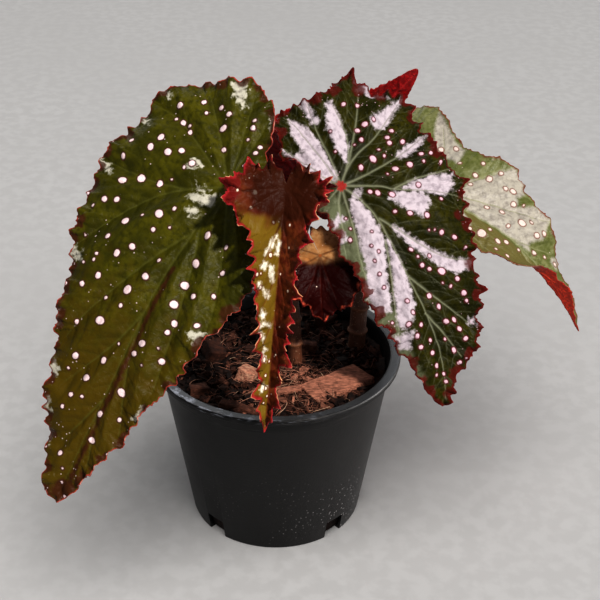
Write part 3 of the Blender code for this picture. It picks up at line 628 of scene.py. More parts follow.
BLADES = {
    # joint, tip and the way the upper face looks, in metres. bend: degrees along the midrib. fold: degrees up
    # at the midrib, and the share of it opened out at the joint. curl: between which shares of the length one
    # side turns up, and by how many degrees. cup: how far the sides hang. step: spacing of the mesh.
    # outline: degrees from the tip, and radius. teeth: pitch and height of the coarse and the fine ones.
    # pleat: puff between the ribs. ruffles, ruffle: number and height of the margin's slow waves. frill:
    # pitch and height of its quick ones. ribs: lines of the main veins. spots: place and width of the white
    # spots, and of a few painted glints. silver: corners of each patch, many of them painted reflections
    # and glints. blush: place and width of red patches, and on the left leaf of painted shade in a crease.
    # blush_reach: depth of red at the margin. heart: radius of the mark at the joint, and how far it runs out
    # along the ribs; on the front leaf it is a dark disc of painted shade. shade: the axis along which the
    # colour turns into other, from where to where, and the least y; on the front and inner leaves this split
    # is painted light and shade. gloss: specular level. tuft: how ragged the silver is. edge_width: width
    # of the coloured margin. random_spots: how many times one more spot is tried at a random place.
    "leaf_left": dict(
        joint=(-0.0206, -0.0150, 0.1784), tip=(-0.0910, -0.0800, 0.0600), face=(-0.25, -0.75, 0.60),
        bend=24, fold=(0, 0), curl=(0.5, 1.0, 0), cup=8.0, seed=1, step=0.62,
        outline=[(-100, 10), (-80, 29), (-60, 41), (-42, 50), (-25, 66), (-12, 98), (0, 154), (8, 133),
                 (20, 101), (35, 79), (55, 67), (80, 60), (105, 55), (122, 58), (150, 52), (165, 50),
                 (180, 39), (210, 19), (225, 9)],
        teeth=[(11.0, 2.4), (3.0, 0.8)], pleat=3.2, ruffles=13, ruffle=2.2, frill=(7.0, 1.2),
        ribs=[[(0, 0), (2, 25), (3.5, 50), (2.5, 75), (1.5, 100), (1.5, 125), (1.5, 150)],
              [(3, 26), (8, 34), (15, 48), (21, 61), (27, 76), (31, 90)],
              [(0, 0), (12, 7), (24, 16), (33, 27), (41, 40), (48, 54)],
              [(15, 9), (30, 12.5), (44, 13.5), (56, 14)],
              [(0, 0), (10, -5), (24, -12), (38, -18), (52, -19)],
              [(0, 0), (7, -9), (17, -20), (28, -31), (35, -38)], [(0, 0), (3.5, -14), (8, -28), (13, -42)],
              [(0, 0), (0.5, -12), (0, -24), (1, -38)], [(3, 64), (8, 80), (15, 95), (21, 106)],
              [(1, 20), (-5, 36), (-10, 55), (-14, 75), (-17, 92)],
              [(0, 0), (-8, 14), (-16, 30), (-22, 46), (-25, 58)], [(0, 0), (-9, 5), (-19, 12), (-27, 20)],
              [(2.5, 70), (-2, 88), (-8, 104), (-12, 116)], [(1.5, 105), (6, 118), (11, 130)],
              [(1.5, 112), (-3, 126), (-6, 136)]],
        # The first three spots, at the tip, are painted highlights: pale glints on the curled tip.
        spots=[(-1.2, 151, 2.2), (2.6, 146, 1.5), (4.6, 140, 1.3), (15.8, 135.6, 1.3), (8.2, 134.3, 2.7),
               (-11.3, 124.3, 1.8), (-2.2, 122.6, 3.5), (15.7, 115.7, 2.2), (-0.4, 110.8, 3.4),
               (14.6, 109.5, 2.6), (-9.1, 108.9, 2.3), (9.7, 107.8, 1.8), (22.1, 100.8, 1.6),
               (12.2, 100.1, 3.8), (-4.8, 98.2, 4.1), (21.3, 94.4, 3.5), (9, 90.1, 3.4), (-7.9, 83.5, 1.3),
               (28.8, 81.9, 2.6), (-1.9, 81.1, 3.2), (6.7, 80.9, 1.6), (-14.1, 78.3, 3.4), (18.3, 76, 4.7),
               (-3.2, 75.6, 3.9), (-10.5, 74.1, 1.3), (42.6, 70, 2.3), (22.3, 66.7, 2.1),
               (-10.5, 66.4, 2.7), (34.5, 66.4, 2.9), (13.1, 66.2, 2.2), (-11.3, 61.8, 3.4),
               (29.6, 59.9, 3.2), (14.3, 59, 4.7), (39.5, 58.1, 1.8), (-21, 57.8, 2.6), (-7.2, 54.9, 3.9),
               (35.1, 54.9, 2), (35.3, 52.1, 1.9), (10.1, 50.4, 3.7), (-13.2, 48, 2.9), (26.7, 47.7, 3.6),
               (46, 47.5, 1.4), (-7, 45.7, 4.2), (-20.3, 43.8, 2.4), (35, 43.2, 2.9), (21.9, 42.2, 3.3),
               (8.7, 41.7, 2.3), (-6.5, 35.4, 4.3), (49.9, 34.5, 2.1), (31.8, 33.8, 4), (-18.6, 33.5, 2.7),
               (17.4, 31.6, 2.5), (56.1, 30.8, 2.1), (46, 29.8, 3.2), (25.8, 28.2, 1.8), (11.4, 27.5, 1.4),
               (40.8, 27.4, 3), (19, 24.4, 4.5), (-14.2, 23.2, 2.4), (-4.9, 22.7, 3.8), (13.9, 19.5, 2.4),
               (43.5, 18.7, 4.1), (36.8, 14, 4.4), (27.7, 12.3, 3.5), (49.5, 9.1, 2.8), (23.5, 8.4, 1.4),
               (20.7, 1.6, 1.9), (51.1, 0.7, 2.5), (40.2, 0, 3.7), (31.3, -1.2, 3.9), (18.5, -1.5, 3.4),
               (26.3, -4.6, 3.3), (38.5, -5.9, 3.6), (10.7, -14.1, 2.6), (29.2, -14.6, 2.6), (31, -17, 2),
               (34.7, -17.2, 3), (38.6, -17.3, 2), (-2.8, -19, 2.6), (-3, -22.3, 2.6), (16.4, -22.5, 3.8),
               (3.7, -22.9, 1.7), (40, -23.1, 3.3), (27.2, -25.4, 2.1), (4.5, -28.4, 2.9), (17.2, -28.9, 3),
               (31.7, -29.8, 2.9), (22.6, -30.5, 2.7), (5.9, -31.8, 2.4), (-1.5, -11.8, 2)],
        # The patches near the joint are pale silver; those along the margin are painted glints on the lobes.
        silver_and_glint=[[(1, 9), (5, 12.5), (9, 13), (12, 11), (9, 8.5), (5, 8), (2, 5)],
                [(6, 5), (13, 8), (12, 5.5)], [(4, 16), (7, 19), (9, 17), (6, 15)],
                [(52, 18), (59, 18), (59, 14.5), (52, 15.5)],
                [(48, -9), (56, -9.5), (55, -13), (50, -10.5)], [(46.5, -23), (52, -27), (48, -27.5)],
                [(42, 58), (50, 60), (49, 54), (44, 55)], [(26.5, 107), (31, 106), (30, 101), (26, 103)],
                [(21, 121), (26, 121), (24, 116)], [(16, 134), (20, 132), (20, 127), (17, 129)],
                [(14, -35), (19, -37), (25, -43), (21, -46), (17, -43)], [(-3, -31), (1, -36), (-1, -42)],
                [(-26, 60), (-24, 65), (-20, 62), (-24, 60)], [(-20, 104), (-15, 105), (-17, 99)],
                [(17, -1), (20, 0), (19, -4), (15, -3)], [(36, 87), (39, 92), (41, 84), (38, 80)]],
        # The row of circles beside the midrib is painted shade in its crease; the circle at the tip is its
        # red.
        blush_and_crease_shade=[(0, 149, 9)] + [(max(-0.9, 3.1 - 0.04 * along), along, 2.0) for along in range(42, 148)],
        blush_reach=5.0, heart_and_painted_shade=(0.3, 1.1), tone_and_painted_shade=("y", 35, 115, -90), gloss=0.1, tuft=1.7, edge_width=0.5,
        random_spots=0,
        colours=dict(deep=(0.034, 0.033, 0.0009, 1), light=(0.084, 0.076, 0.0020, 1),
                     other=(0.078, 0.049, 0.0012, 1), vein=(0.100, 0.100, 0.018, 1),
                     silver_and_glint=(0.52, 0.50, 0.42, 1), blush_and_crease_shade=(0.056, 0.015, 0.005, 1),
                     spot=(0.80, 0.63, 0.65, 1), ring=(0.060, 0.018, 0.012, 1),
                     edge=(0.34, 0.050, 0.035, 1), heart_and_painted_shade=(0.40, 0.060, 0.030, 1), rim=(0.52, 0.26, 0.20, 1),
                     under=(0.15, 0.020, 0.010, 1))),
    "leaf_right": dict(
        joint=(0.0285, -0.0050, 0.1748), tip=(0.0725, -0.0500, 0.0925), face=(0.20, -0.80, 0.60), bend=20,
        fold=(0, 0), curl=(0.5, 1.0, 0), cup=6.0, seed=2, step=0.52,
        outline=[(-232, 10), (-212, 30), (-195, 42), (-165, 45), (-150, 54), (-135, 50), (-120, 54),
                 (-100, 49), (-75, 55), (-60, 58), (-45, 64), (-30, 77), (-18, 91), (-7, 99), (0, 106),
                 (7, 74), (15, 49), (25, 31), (45, 19), (75, 13), (98, 8)],
        teeth=[(8.5, 3.0), (2.6, 0.9)], pleat=2.8, ruffles=15, ruffle=2.6, frill=(6.5, 1.8),
        ribs=[[(0, 0), (-5.5, 10), (-8.5, 22), (-9, 34), (-9.5, 50), (-10, 70), (-8.5, 88), (-3, 104)],
              [(-7, 30), (-3.5, 42), (0.5, 54), (4.5, 66), (6, 74)],
              [(0, 0), (2.5, 14), (5.5, 28), (9, 42), (11, 54)], [(0, 0), (5, 8), (9, 20), (12, 30)],
              [(0, 0), (5, 2), (9, 4)], [(-9, 20), (-16, 30), (-24, 42), (-33, 50), (-43, 54)],
              [(-9.5, 48), (-16, 60), (-22, 70), (-28, 80)], [(-9.8, 66), (-14, 78), (-17, 90)],
              [(0, 0), (-8, 3.5), (-16, 7), (-22, 11), (-33, 16), (-42, 21), (-50, 27)],
              [(-22, 10.5), (-32, 10), (-42, 11), (-52, 12)],
              [(0, 0), (-10, 0), (-22, -1), (-34, -3), (-48, -7)],
              [(0, 0), (-5, -5), (-13, -10), (-24, -14), (-36, -21), (-46, -27)],
              [(-5, -5), (-10, -12), (-13.5, -22), (-14.5, -38)],
              [(-8, -8), (-15, -17), (-23, -28), (-30, -40)], [(0, 0), (-1.5, -12), (-2, -26), (-4, -41)],
              [(0, 0), (2, -14), (5, -30), (8, -40)], [(0, 0), (6, -8), (11, -18), (15, -27)]],
        spots=[(-6, 97, 2), (-6.8, 93.8, 2), (-3, 92.4, 1.8), (-15.5, 92.4, 2.4), (-18.6, 91.6, 1.3),
               (-4.6, 88.6, 2.7), (-15, 86, 2.8), (-21.7, 83.4, 2.6), (-5.1, 82.7, 2.5), (-13.3, 80, 1.7),
               (-20.8, 78.4, 2.7), (-0.9, 78, 2.4), (-6.6, 77.4, 2.2), (-20.7, 74, 2.8), (-16.7, 73, 2.7),
               (-1.5, 73, 2.5), (-5.3, 69.4, 2.3), (-29, 68.6, 2), (-0.1, 66.9, 2.5), (-16.5, 65.8, 2.6),
               (-29.2, 65, 2.9), (6.3, 63.3, 1.6), (-4, 63, 2.2), (-25, 59.9, 1.8), (-14.6, 59.8, 2.8),
               (-29.2, 58.2, 2.5), (-22.2, 57.1, 1.3), (-24, 52.3, 4), (-3.8, 57.5, 2), (-19.1, 49.1, 2.2),
               (-39.4, 47.4, 1.7), (-16.7, 46.3, 2.5), (-22.2, 44, 2), (-16.7, 42.1, 1.7),
               (-36.1, 41.2, 2.6), (-15.3, 38.1, 2.4), (-31.6, 36.9, 2.6), (-29.2, 34.6, 1.2),
               (-26.8, 33.7, 1.2), (-28.9, 27.4, 3), (-39.2, 23.2, 2), (-22, 23.6, 2.6), (-16.2, 20.2, 2),
               (7.3, 23.3, 2.2), (5.3, 19, 1.5), (-32.6, 13.3, 2.6), (-19, 12.6, 3.2), (-13.2, 9.5, 3.2),
               (-10.3, 7.7, 2.5), (-48.1, 7.5, 2.1), (-39.7, 4.6, 1.7), (-21.3, 3.6, 1.4),
               (-32.8, 3.6, 3.2), (-25.8, 2.8, 3.1), (-44.7, 2.4, 2.2), (-40.2, 1.1, 2.4),
               (-11.7, -3.8, 2.7), (-24.2, -4.6, 1.8), (-18.6, -5.2, 3.6), (-35.4, -7.5, 2.6),
               (-22.9, -8, 1.6), (-29, -9, 2.6), (-29.5, -11.8, 2.5), (-33.1, -14.1, 2.4),
               (-14.3, -14.7, 1.2), (-18.2, -15.5, 2.4), (-18.9, -20.3, 2.6), (-23.2, -21.5, 3.2),
               (-28, -22, 2), (-25.2, -31.7, 2.2), (-19, -34, 2.4), (-4.8, -15, 1.4), (-6.8, -24, 1.4),
               (2, 36, 1.4), (-1.6, 33, 1.6), (0.4, 29.5, 1.4), (5, 14, 1.4), (3, 48, 1.8), (-2.5, 24, 1.3),
               (2.6, 42, 1.7)],
        # These silver patches are painted reflections: the glossy pleated blade catching the light.
        silver_and_glint=[[(-4.5, 9), (-6.5, 20), (-6.5, 29), (-2.5, 39), (1, 49), (4.5, 59), (9.5, 57), (11, 50),
                 (9.5, 43), (5.5, 36), (3.5, 26), (1.5, 13), (-1, 7)],
                [(-8.4, 28), (-6.8, 34), (-3.2, 45), (0.2, 55), (4.5, 66), (1, 68.5), (-3, 65), (-6.5, 60),
                 (-8, 52), (-9, 40)], [(-0.5, 70.5), (3, 76.5), (6, 76), (10, 72), (8, 69.5), (3, 70)],
                [(-43, 54), (-37, 56.5), (-30, 56), (-25.5, 51), (-21, 44), (-17, 38), (-14, 31),
                 (-12.5, 25), (-15.5, 28.5), (-20, 35), (-26, 43), (-33, 50), (-38, 52.5)],
                [(-31, 24), (-27, 27), (-22, 22), (-17, 14), (-20, 11.5), (-27, 14.5), (-33, 17),
                 (-34, 21)],
                [(-51, 14.5), (-46, 21), (-41, 22), (-33, 16.5), (-25, 12), (-31, 10.8), (-41, 11.5)],
                [(-48, -6.5), (-41, -2.5), (-33, -0.5), (-30, -2.5), (-36, -5), (-43, -6.5)],
                [(-46, -26.5), (-38, -21), (-31, -16.5), (-27, -18), (-27, -23), (-35, -25)],
                [(-7.5, -9), (-12, -17), (-14, -26), (-15, -38), (-12, -38), (-10, -33), (-6, -26),
                 (-6, -15)], [(-0.5, -4), (-0.5, -20), (1.5, -30), (6, -38), (9, -31), (8, -21),
                 (12.5, -21), (16, -27), (12, -15), (8, -8), (5, -3)],
                [(-4.5, -31), (-4.5, -42), (-1.5, -43), (-1.5, -31)],
                [(8, 22), (12, 24), (12, 21.5), (9, 19)], [(5, 14), (12, 17), (13, 14), (7, 11)],
                [(-27, 79), (-32, 82), (-30, 79.5), (-33, 78), (-28, 77)],
                [(-2, 6), (-4, 5), (-8, 4), (-4, 9)],
                [(-40, -30), (-34, -37), (-30, -44), (-29, -38), (-34, -33)]],
        blush_and_crease_shade=[(-44, 33, 4), (-47, 42, 3), (-29, -38, 5), (-14, 98, 6), (-24, 91, 3), (-6, 103, 5),
               (-8, -40, 4), (-37, -32, 4)],
        blush_reach=5.0, heart_and_painted_shade=(0.4, 2.3), tone_and_painted_shade=("x", 1.5, 6, -2), gloss=0.06, tuft=1.0, edge_width=1.3,
        random_spots=0,
        colours=dict(deep=(0.011, 0.0115, 0.0004, 1), light=(0.040, 0.036, 0.0010, 1),
                     other=(0.120, 0.130, 0.075, 1), vein=(0.30, 0.31, 0.21, 1),
                     silver_and_glint=(0.54, 0.475, 0.52, 1), blush_and_crease_shade=(0.080, 0.008, 0.005, 1),
                     spot=(0.64, 0.44, 0.51, 1), ring=(0.085, 0.012, 0.014, 1),
                     edge=(0.120, 0.008, 0.006, 1), heart_and_painted_shade=(0.30, 0.006, 0.006, 1),
                     rim=(0.42, 0.12, 0.10, 1), under=(0.19, 0.012, 0.008, 1))),
    "leaf_far_right": dict(
        joint=(0.0720, 0.0350, 0.1520), tip=(0.1450, 0.0100, 0.0927), face=(0.35, -0.45, 0.80), bend=55,
        fold=(0, 0), curl=(0.46, 0.66, 95), cup=-10.0, seed=3, step=0.6,
        outline=[(-172, 12), (-158, 36), (-142, 51), (-124, 58), (-112, 54), (-104, 45), (-94, 38),
                 (-80, 36), (-68, 38), (-55, 45), (-42, 48), (-32, 53), (-24, 60), (-15, 68), (-6, 80),
                 (0, 101), (3, 89), (6, 77), (9, 65), (14, 49), (21, 40), (27, 32), (38, 25), (60, 22),
                 (90, 19), (125, 14), (150, 8)],
        teeth=[(9.0, 1.4), (2.8, 0.6)], pleat=1.8, ruffles=9, ruffle=1.8, frill=(7.0, 0.3),
        ribs=[[(0, 0), (-1.5, 20), (-3, 40), (-2.5, 60), (-0.5, 80), (0, 98)],
              [(0, 0), (-7, 12), (-13, 27), (-19, 41), (-25, 54)], [(0, 0), (-12, 8), (-24, 17), (-35, 25)],
              [(0, 0), (-14, -2), (-28, -6), (-40, -12)], [(0, 0), (-11, -10), (-24, -22), (-38, -36)],
              [(0, 0), (-4, -12), (-10, -26)], [(0, 0), (4, 14), (9, 27), (13, 38)],
              [(0, 0), (7, 5), (14, 10), (19, 12)], [(0, 0), (6, -3), (12, -5)],
              [(-3, 42), (-8, 54), (-14, 64)], [(-2.5, 50), (2, 62), (6, 72)]],
        spots=[(-14, 43.5, 4.4), (-12.8, 33, 3), (-25.7, 31.8, 3.4), (-24.2, 28.1, 2.4), (-10.2, 25.9, 2.6),
               (-30.5, 22.5, 2.2), (-24.8, 19.4, 3.5), (-22.6, 13, 2.8), (-17, 13.2, 2.5),
               (-29.9, 13.1, 2.3), (-17.5, 54.8, 2.8), (-13.8, 52.5, 3), (-6.1, 56.4, 2.8), (-1, 49.5, 1.8),
               (9.2, 46, 2.2), (1.3, 42.4, 3.2), (5, 38.8, 3.2), (0.8, 32.9, 2), (5.9, 30.7, 4.4),
               (6.9, 25, 2.2), (-32.5, -1.8, 2.8), (-29, -8, 3), (-12, 69, 2.6), (-7.5, 39, 2), (-4, 17, 3),
               (-18, 47, 2), (-9, 62, 1.8), (-3, 65, 2)],
        # These patches are pale silver and painted reflection together, light caught by the glossy blade.
        silver_and_glint=[[(-26, 53), (-15, 56), (-9, 52), (-5, 54), (-3.5, 40), (-2.5, 22), (-3, 12), (-8, 10),
                 (-14, 12), (-19, 12), (-23, 17), (-30, 21), (-36, 26), (-35, 33), (-29, 37), (-24, 35),
                 (-20, 38), (-27, 44)],
                [(-24, 3), (-34, 2), (-36, -4), (-42, -11), (-47, -17), (-40, -16), (-32, -13), (-27, -9)],
                [(-16, 70), (-10, 71), (-10, 66), (-14, 66)],
                [(2, 20), (5, 24), (9, 22), (4, 14), (-2, 14)], [(-9, 22), (-3, 30), (-3, 5), (-8, 3)]],
        blush_and_crease_shade=[], blush_reach=1.4, heart_and_painted_shade=(0.5, 1.8), tone_and_painted_shade=("x", -2.2, -0.6, -90), gloss=0.24, tuft=0.2,
        edge_width=0.5, random_spots=14,
        colours=dict(deep=(0.084, 0.098, 0.018, 1), light=(0.200, 0.205, 0.085, 1),
                     other=(0.135, 0.115, 0.032, 1), vein=(0.30, 0.30, 0.17, 1),
                     silver_and_glint=(0.41, 0.38, 0.33, 1), blush_and_crease_shade=(0.120, 0.030, 0.010, 1),
                     spot=(0.66, 0.55, 0.51, 1), ring=(0.17, 0.075, 0.05, 1), edge=(0.20, 0.045, 0.020, 1),
                     heart_and_painted_shade=(0.30, 0.030, 0.010, 1), rim=(0.24, 0.13, 0.07, 1),
                     under=(0.72, 0.045, 0.014, 1))),
    "leaf_front": dict(
        joint=(0.0046, -0.0280, 0.1847), tip=(-0.0032, -0.0700, 0.0920), face=(0.00, -0.95, 0.30), bend=12,
        fold=(52, 0.6), curl=(0.5, 1.0, 0), cup=0.0, seed=4, step=0.5,
        outline=[(-165, 8), (-147, 11), (-128, 14), (-100, 19), (-78, 21), (-60, 19), (-42, 23), (-28, 32),
                 (-20, 41), (-16, 49), (-12, 58), (-10, 66), (-7, 76), (-5, 89), (-3, 97), (0, 103),
                 (3, 97), (5, 88), (7, 75), (10, 65), (14, 56), (20, 48), (27, 40), (36, 33), (48, 29),
                 (64, 29), (80, 29), (96, 26), (114, 19), (136, 13), (165, 8)],
        teeth=[(7.0, 6.4), (2.4, 1.2)], pleat=1.4, ruffles=8, ruffle=1.0, frill=(8.0, 3.0),
        ribs=[[(0, 0), (0, 40), (0, 102)], [(0, 0), (-6, 6), (-13, 16)], [(0, 0), (-12, 0), (-22, -1)],
              [(0, 0), (-8, -6), (-15, -12)], [(0, 14), (-5, 26), (-11, 38)], [(0, 34), (-5, 46), (-9, 56)],
              [(0, 54), (-4, 64), (-7, 72)], [(0, 0), (12, 8), (24, 16)], [(0, 0), (15, 3), (28, 5)],
              [(0, 0), (10, -6), (20, -8)], [(0, 14), (8, 28), (17, 40)], [(0, 34), (6, 46), (12, 55)],
              [(0, 54), (5, 64), (8.5, 72)]],
        spots=[(13.2, 3.6, 2.4), (15.2, 10, 1.6), (6, 28.6, 2.4), (4.6, 15, 1.5), (2.6, 79, 1.6),
               (1.7, 84.6, 1.6), (4.3, 72.4, 2), (8, 62, 2), (11, 42, 2), (13.8, 36.6, 2),
               (11.4, 36.2, 1.3), (-7.5, 42.7, 1.6), (-1.6, 36.2, 1.3), (-5.5, 25, 1.4), (-3.9, 15.6, 1.4),
               (-4, 58, 1.2), (-3, 70, 1.2), (21, 3.5, 1.4), (28, 4.5, 1.6), (1, 73.2, 1.3), (0.5, 88, 1.4),
               (2.5, 91, 1.4)],
        # Here the silver patches are painted highlights: small white glints on the lit half.
        silver_and_glint=[[(2.2, 20), (5, 24.5), (9.5, 29), (8.5, 26.5), (5, 22.5)],
                [(2, 58.5), (5, 57.2), (9, 58.2), (9, 57), (4, 56.2)],
                [(5.5, 37), (6, 33), (3.5, 33), (2.5, 39.5), (4.5, 39)],
                [(0, 23), (0.8, 28.5), (3, 28), (1.8, 23)], [(6.5, 54.5), (10, 53.5), (9, 51), (6, 52.5)],
                [(5, 47), (8, 44.5), (7, 43), (5, 44.5)], [(7.5, 32), (9, 35), (11.5, 33), (10, 31)],
                [(9, 42.5), (12.5, 42.5), (12, 40.5), (10, 41)], [(3, 73), (6.5, 72.5), (6, 71), (4, 71)],
                [(1, 84), (5, 86), (4, 83)], [(6, 63), (10, 61.5), (9.5, 60.5), (6, 61.5)],
                [(3.5, 68.5), (6, 70), (5, 67)]],
        blush_and_crease_shade=[(27, 2, 12), (21, -9, 9)],
        # heart here is a wide near-black disc: painted shade in the cupped collar round the joint.
        blush_reach=2.4, heart_and_painted_shade=(15.5, 4), tone_and_painted_shade=("x", -0.8, 0.8, 9), gloss=0.07, tuft=0.9, edge_width=1.4,
        random_spots=0,
        # deep and light, dark brown-red, are the half painted in shade; other, olive, is the painted lit
        # half.
        colours=dict(deep=(0.080, 0.0120, 0.0045, 1), light=(0.165, 0.042, 0.0110, 1),
                     other=(0.175, 0.108, 0.011, 1), vein=(0.13, 0.028, 0.008, 1),
                     silver_and_glint=(0.86, 0.82, 0.70, 1), blush_and_crease_shade=(0.15, 0.010, 0.009, 1),
                     spot=(0.84, 0.74, 0.62, 1), ring=(0.14, 0.030, 0.012, 1), edge=(0.36, 0.022, 0.028, 1),
                     heart_and_painted_shade=(0.034, 0.0072, 0.0020, 1), rim=(0.66, 0.33, 0.17, 1),
                     under=(0.26, 0.014, 0.012, 1))),
    "leaf_back": dict(
        joint=(0.0154, 0.0430, 0.1477), tip=(0.0632, 0.0440, 0.2095), face=(-0.05, 0.95, 0.05), bend=25,
        fold=(0, 0), curl=(0.5, 1.0, 0), cup=4.0, seed=5, step=0.6,
        outline=[(-150, 7), (-115, 14), (-90, 24), (-60, 30), (-40, 33), (-20, 42), (-8, 58), (0, 80),
                 (6, 66), (17, 53), (35, 46), (55, 45), (75, 43), (95, 37), (115, 25), (135, 12), (155, 7)],
        teeth=[(5.0, 0.9), (2.2, 0.4)], pleat=1.8, ruffles=7, ruffle=0.7, frill=(6.5, 0.12),
        ribs=[[(0, 0), (0, 38), (0, 77)], [(0, 0), (-14, -2), (-23, -4)], [(0, 0), (-14, 8), (-26, 17)],
              [(0, 0), (-9, 17), (-18, 36)], [(0, 0), (13, 22), (25, 44)], [(0, 0), (20, 8), (41, 17)],
              [(0, 0), (16, -5), (32, -9)], [(0, 30), (5, 44), (11, 58)], [(0, 34), (-5, 46), (-9, 58)]],
        spots=[],
        silver_and_glint=[[(-2, 12), (-2, 40), (-6, 50), (-9, 44), (-6, 20)],
                [(3, 10), (12, 26), (16, 40), (10, 36), (4, 20)],
                [(10, 4), (30, 14), (36, 20), (24, 17), (12, 8)], [(-6, 2), (-20, 6), (-18, 1), (-8, -1)]],
        blush_and_crease_shade=[], blush_reach=4.0, heart_and_painted_shade=(0.7, 2.6), tone_and_painted_shade=("y", 300, 400, -90), gloss=0.24, tuft=1.0,
        edge_width=0.6, random_spots=60,
        colours=dict(deep=(0.022, 0.033, 0.003, 1), light=(0.060, 0.070, 0.0075, 1),
                     other=(0.060, 0.070, 0.0075, 1), vein=(0.30, 0.31, 0.13, 1),
                     silver_and_glint=(0.66, 0.58, 0.64, 1), blush_and_crease_shade=(0.110, 0.010, 0.006, 1),
                     spot=(0.80, 0.60, 0.66, 1), ring=(0.085, 0.018, 0.016, 1),
                     edge=(0.30, 0.030, 0.025, 1), heart_and_painted_shade=(0.42, 0.010, 0.008, 1), rim=(0.46, 0.13, 0.10, 1),
                     under=(0.40, 0.006, 0.007, 1))),
    "leaf_inner": dict(
        joint=(0.0200, -0.0050, 0.1405), tip=(0.0215, -0.0180, 0.1150), face=(-0.10, -0.70, 0.55), bend=60,
        fold=(8, 0), curl=(0.5, 1.0, 0), cup=1.0, seed=6, step=0.42,
        outline=[(-205, 14), (-190, 17), (-160, 19), (-135, 20), (-105, 20), (-75, 22), (-45, 25),
                 (-25, 27), (-8, 29), (0, 31), (8, 28), (25, 24), (45, 21), (75, 20), (105, 19), (130, 18),
                 (153, 14)],
        teeth=[(6.5, 2.8), (2.2, 0.6)], pleat=1.2, ruffles=9, ruffle=1.6, frill=(6.0, 1.2),
        ribs=[[(0, 0), (0, 16), (0, 32)], [(0, 0), (-12, -4)], [(0, 0), (-7, 4), (-14, 9)],
              [(0, 0), (-3, 10), (-7, 20)], [(0, 0), (3, 10), (7, 19)], [(0, 0), (7, 4), (13, 7)],
              [(0, 0), (11, -4)]],
        spots=[], silver_and_glint=[], blush_and_crease_shade=[], blush_reach=1.6, heart_and_painted_shade=(0.2, 0.6), tone_and_painted_shade=("y", 0, 6, -90),
        gloss=0.05, tuft=0.3, edge_width=1.0, random_spots=0,
        # other, near black, paints shade over the blade below the cream lobes; vein and edge match that
        # shade.
        colours=dict(deep=(0.40, 0.180, 0.060, 1), light=(0.70, 0.43, 0.21, 1),
                     other=(0.016, 0.0007, 0.0005, 1), vein=(0.045, 0.004, 0.002, 1),
                     silver_and_glint=(0.80, 0.70, 0.50, 1), blush_and_crease_shade=(0.62, 0.110, 0.060, 1),
                     spot=(0.84, 0.70, 0.60, 1), ring=(0.40, 0.10, 0.05, 1), edge=(0.045, 0.003, 0.003, 1),
                     heart_and_painted_shade=(0.40, 0.12, 0.03, 1), rim=(0.070, 0.010, 0.008, 1),
                     under=(0.16, 0.010, 0.008, 1))),
}


def leaf_frame(leaf):
    """Joint, sideways, tipward and upper-face directions at the joint, and the midrib's length."""
    joint = Vector(leaf["joint"])
    chord = Vector(leaf["tip"]) - joint
    along = chord.normalized()
    face = Vector(leaf["face"])
    face = (face - along * face.dot(along)).normalized()
    half_bend = math.radians(leaf["bend"]) / 2
    tipward = along * math.cos(half_bend) + face * math.sin(half_bend)
    upper = face * math.cos(half_bend) - along * math.sin(half_bend)
    return joint, tipward.cross(upper), tipward, upper, chord.length * half_bend / math.sin(half_bend)


def smooth_step(share):
    """0 below 0, 1 above 1 and a smooth step from one to the other."""
    share = np.clip(share, 0.0, 1.0)
    return share * share * (3 - 2 * share)


def carry(leaf, x, y, z):
    """Carries points of the flat blade, in millimetres, to their place: folded at the midrib, then bent."""
    joint, sideways, tipward, upper, length = leaf_frame(leaf)
    length *= 1000
    start, full, curl = leaf["curl"]
    turned_up = np.where(x > 0, smooth_step((y / length - start) / (full - start)), 0.0)
    fold, opened = leaf["fold"]
    fold = fold * (1 - opened * (1 - smooth_step(y / FOLD_REACH)))
    fold = np.radians(fold + curl * turned_up)
    side = np.sqrt(x * x + MIDRIB_SOFTNESS ** 2) - MIDRIB_SOFTNESS
    z = z + side * np.sin(fold) - leaf["cup"] * (2 * x / length) ** 2
    x = x * np.cos(fold)
    bend = math.radians(leaf["bend"]) / length
    turned = bend * y
    y = np.sin(turned) / bend + z * np.sin(turned)
    z = z * np.cos(turned) - (1 - np.cos(turned)) / bend
    placed = np.outer(x, sideways) + np.outer(y, tipward) + np.outer(z, upper)
    return placed * 0.001 + np.array(joint)


def teeth(walked, pitch, height, tip_way, rng):
    """How far the margin stands out along the walk: uneven pointed teeth that lean towards the tip."""
    stops = [0.0]
    while stops[-1] <= walked[-1]:
        stops.append(stops[-1] + pitch * rng.uniform(*TOOTH_PITCHES))
    stops = np.array(stops)
    sizes = np.array([height * rng.uniform(*TOOTH_HEIGHTS) for _ in stops])
    k = np.clip(np.searchsorted(stops, walked, side="right") - 1, 0, len(stops) - 2)
    share = (walked - stops[k]) / (stops[k + 1] - stops[k])
    share = np.where(walked < tip_way, share, 1 - share)
    return sizes[k] * np.minimum(share / TOOTH_LEAN, (1 - share) / (1 - TOOTH_LEAN)) ** TOOTH_POINT


def nearest_point(points):
    """A finder of the nearest of some flat points: gives its number and how far it is."""
    tree = KDTree(len(points))
    for k, (x, y) in enumerate(points):
        tree.insert((x, y, 0), k)
    tree.balance()

    def find(places):
        found = [tree.find((x, y, 0)) for x, y in places]
        return np.array([k for _, k, _ in found]), np.array([far for _, _, far in found])
    return find


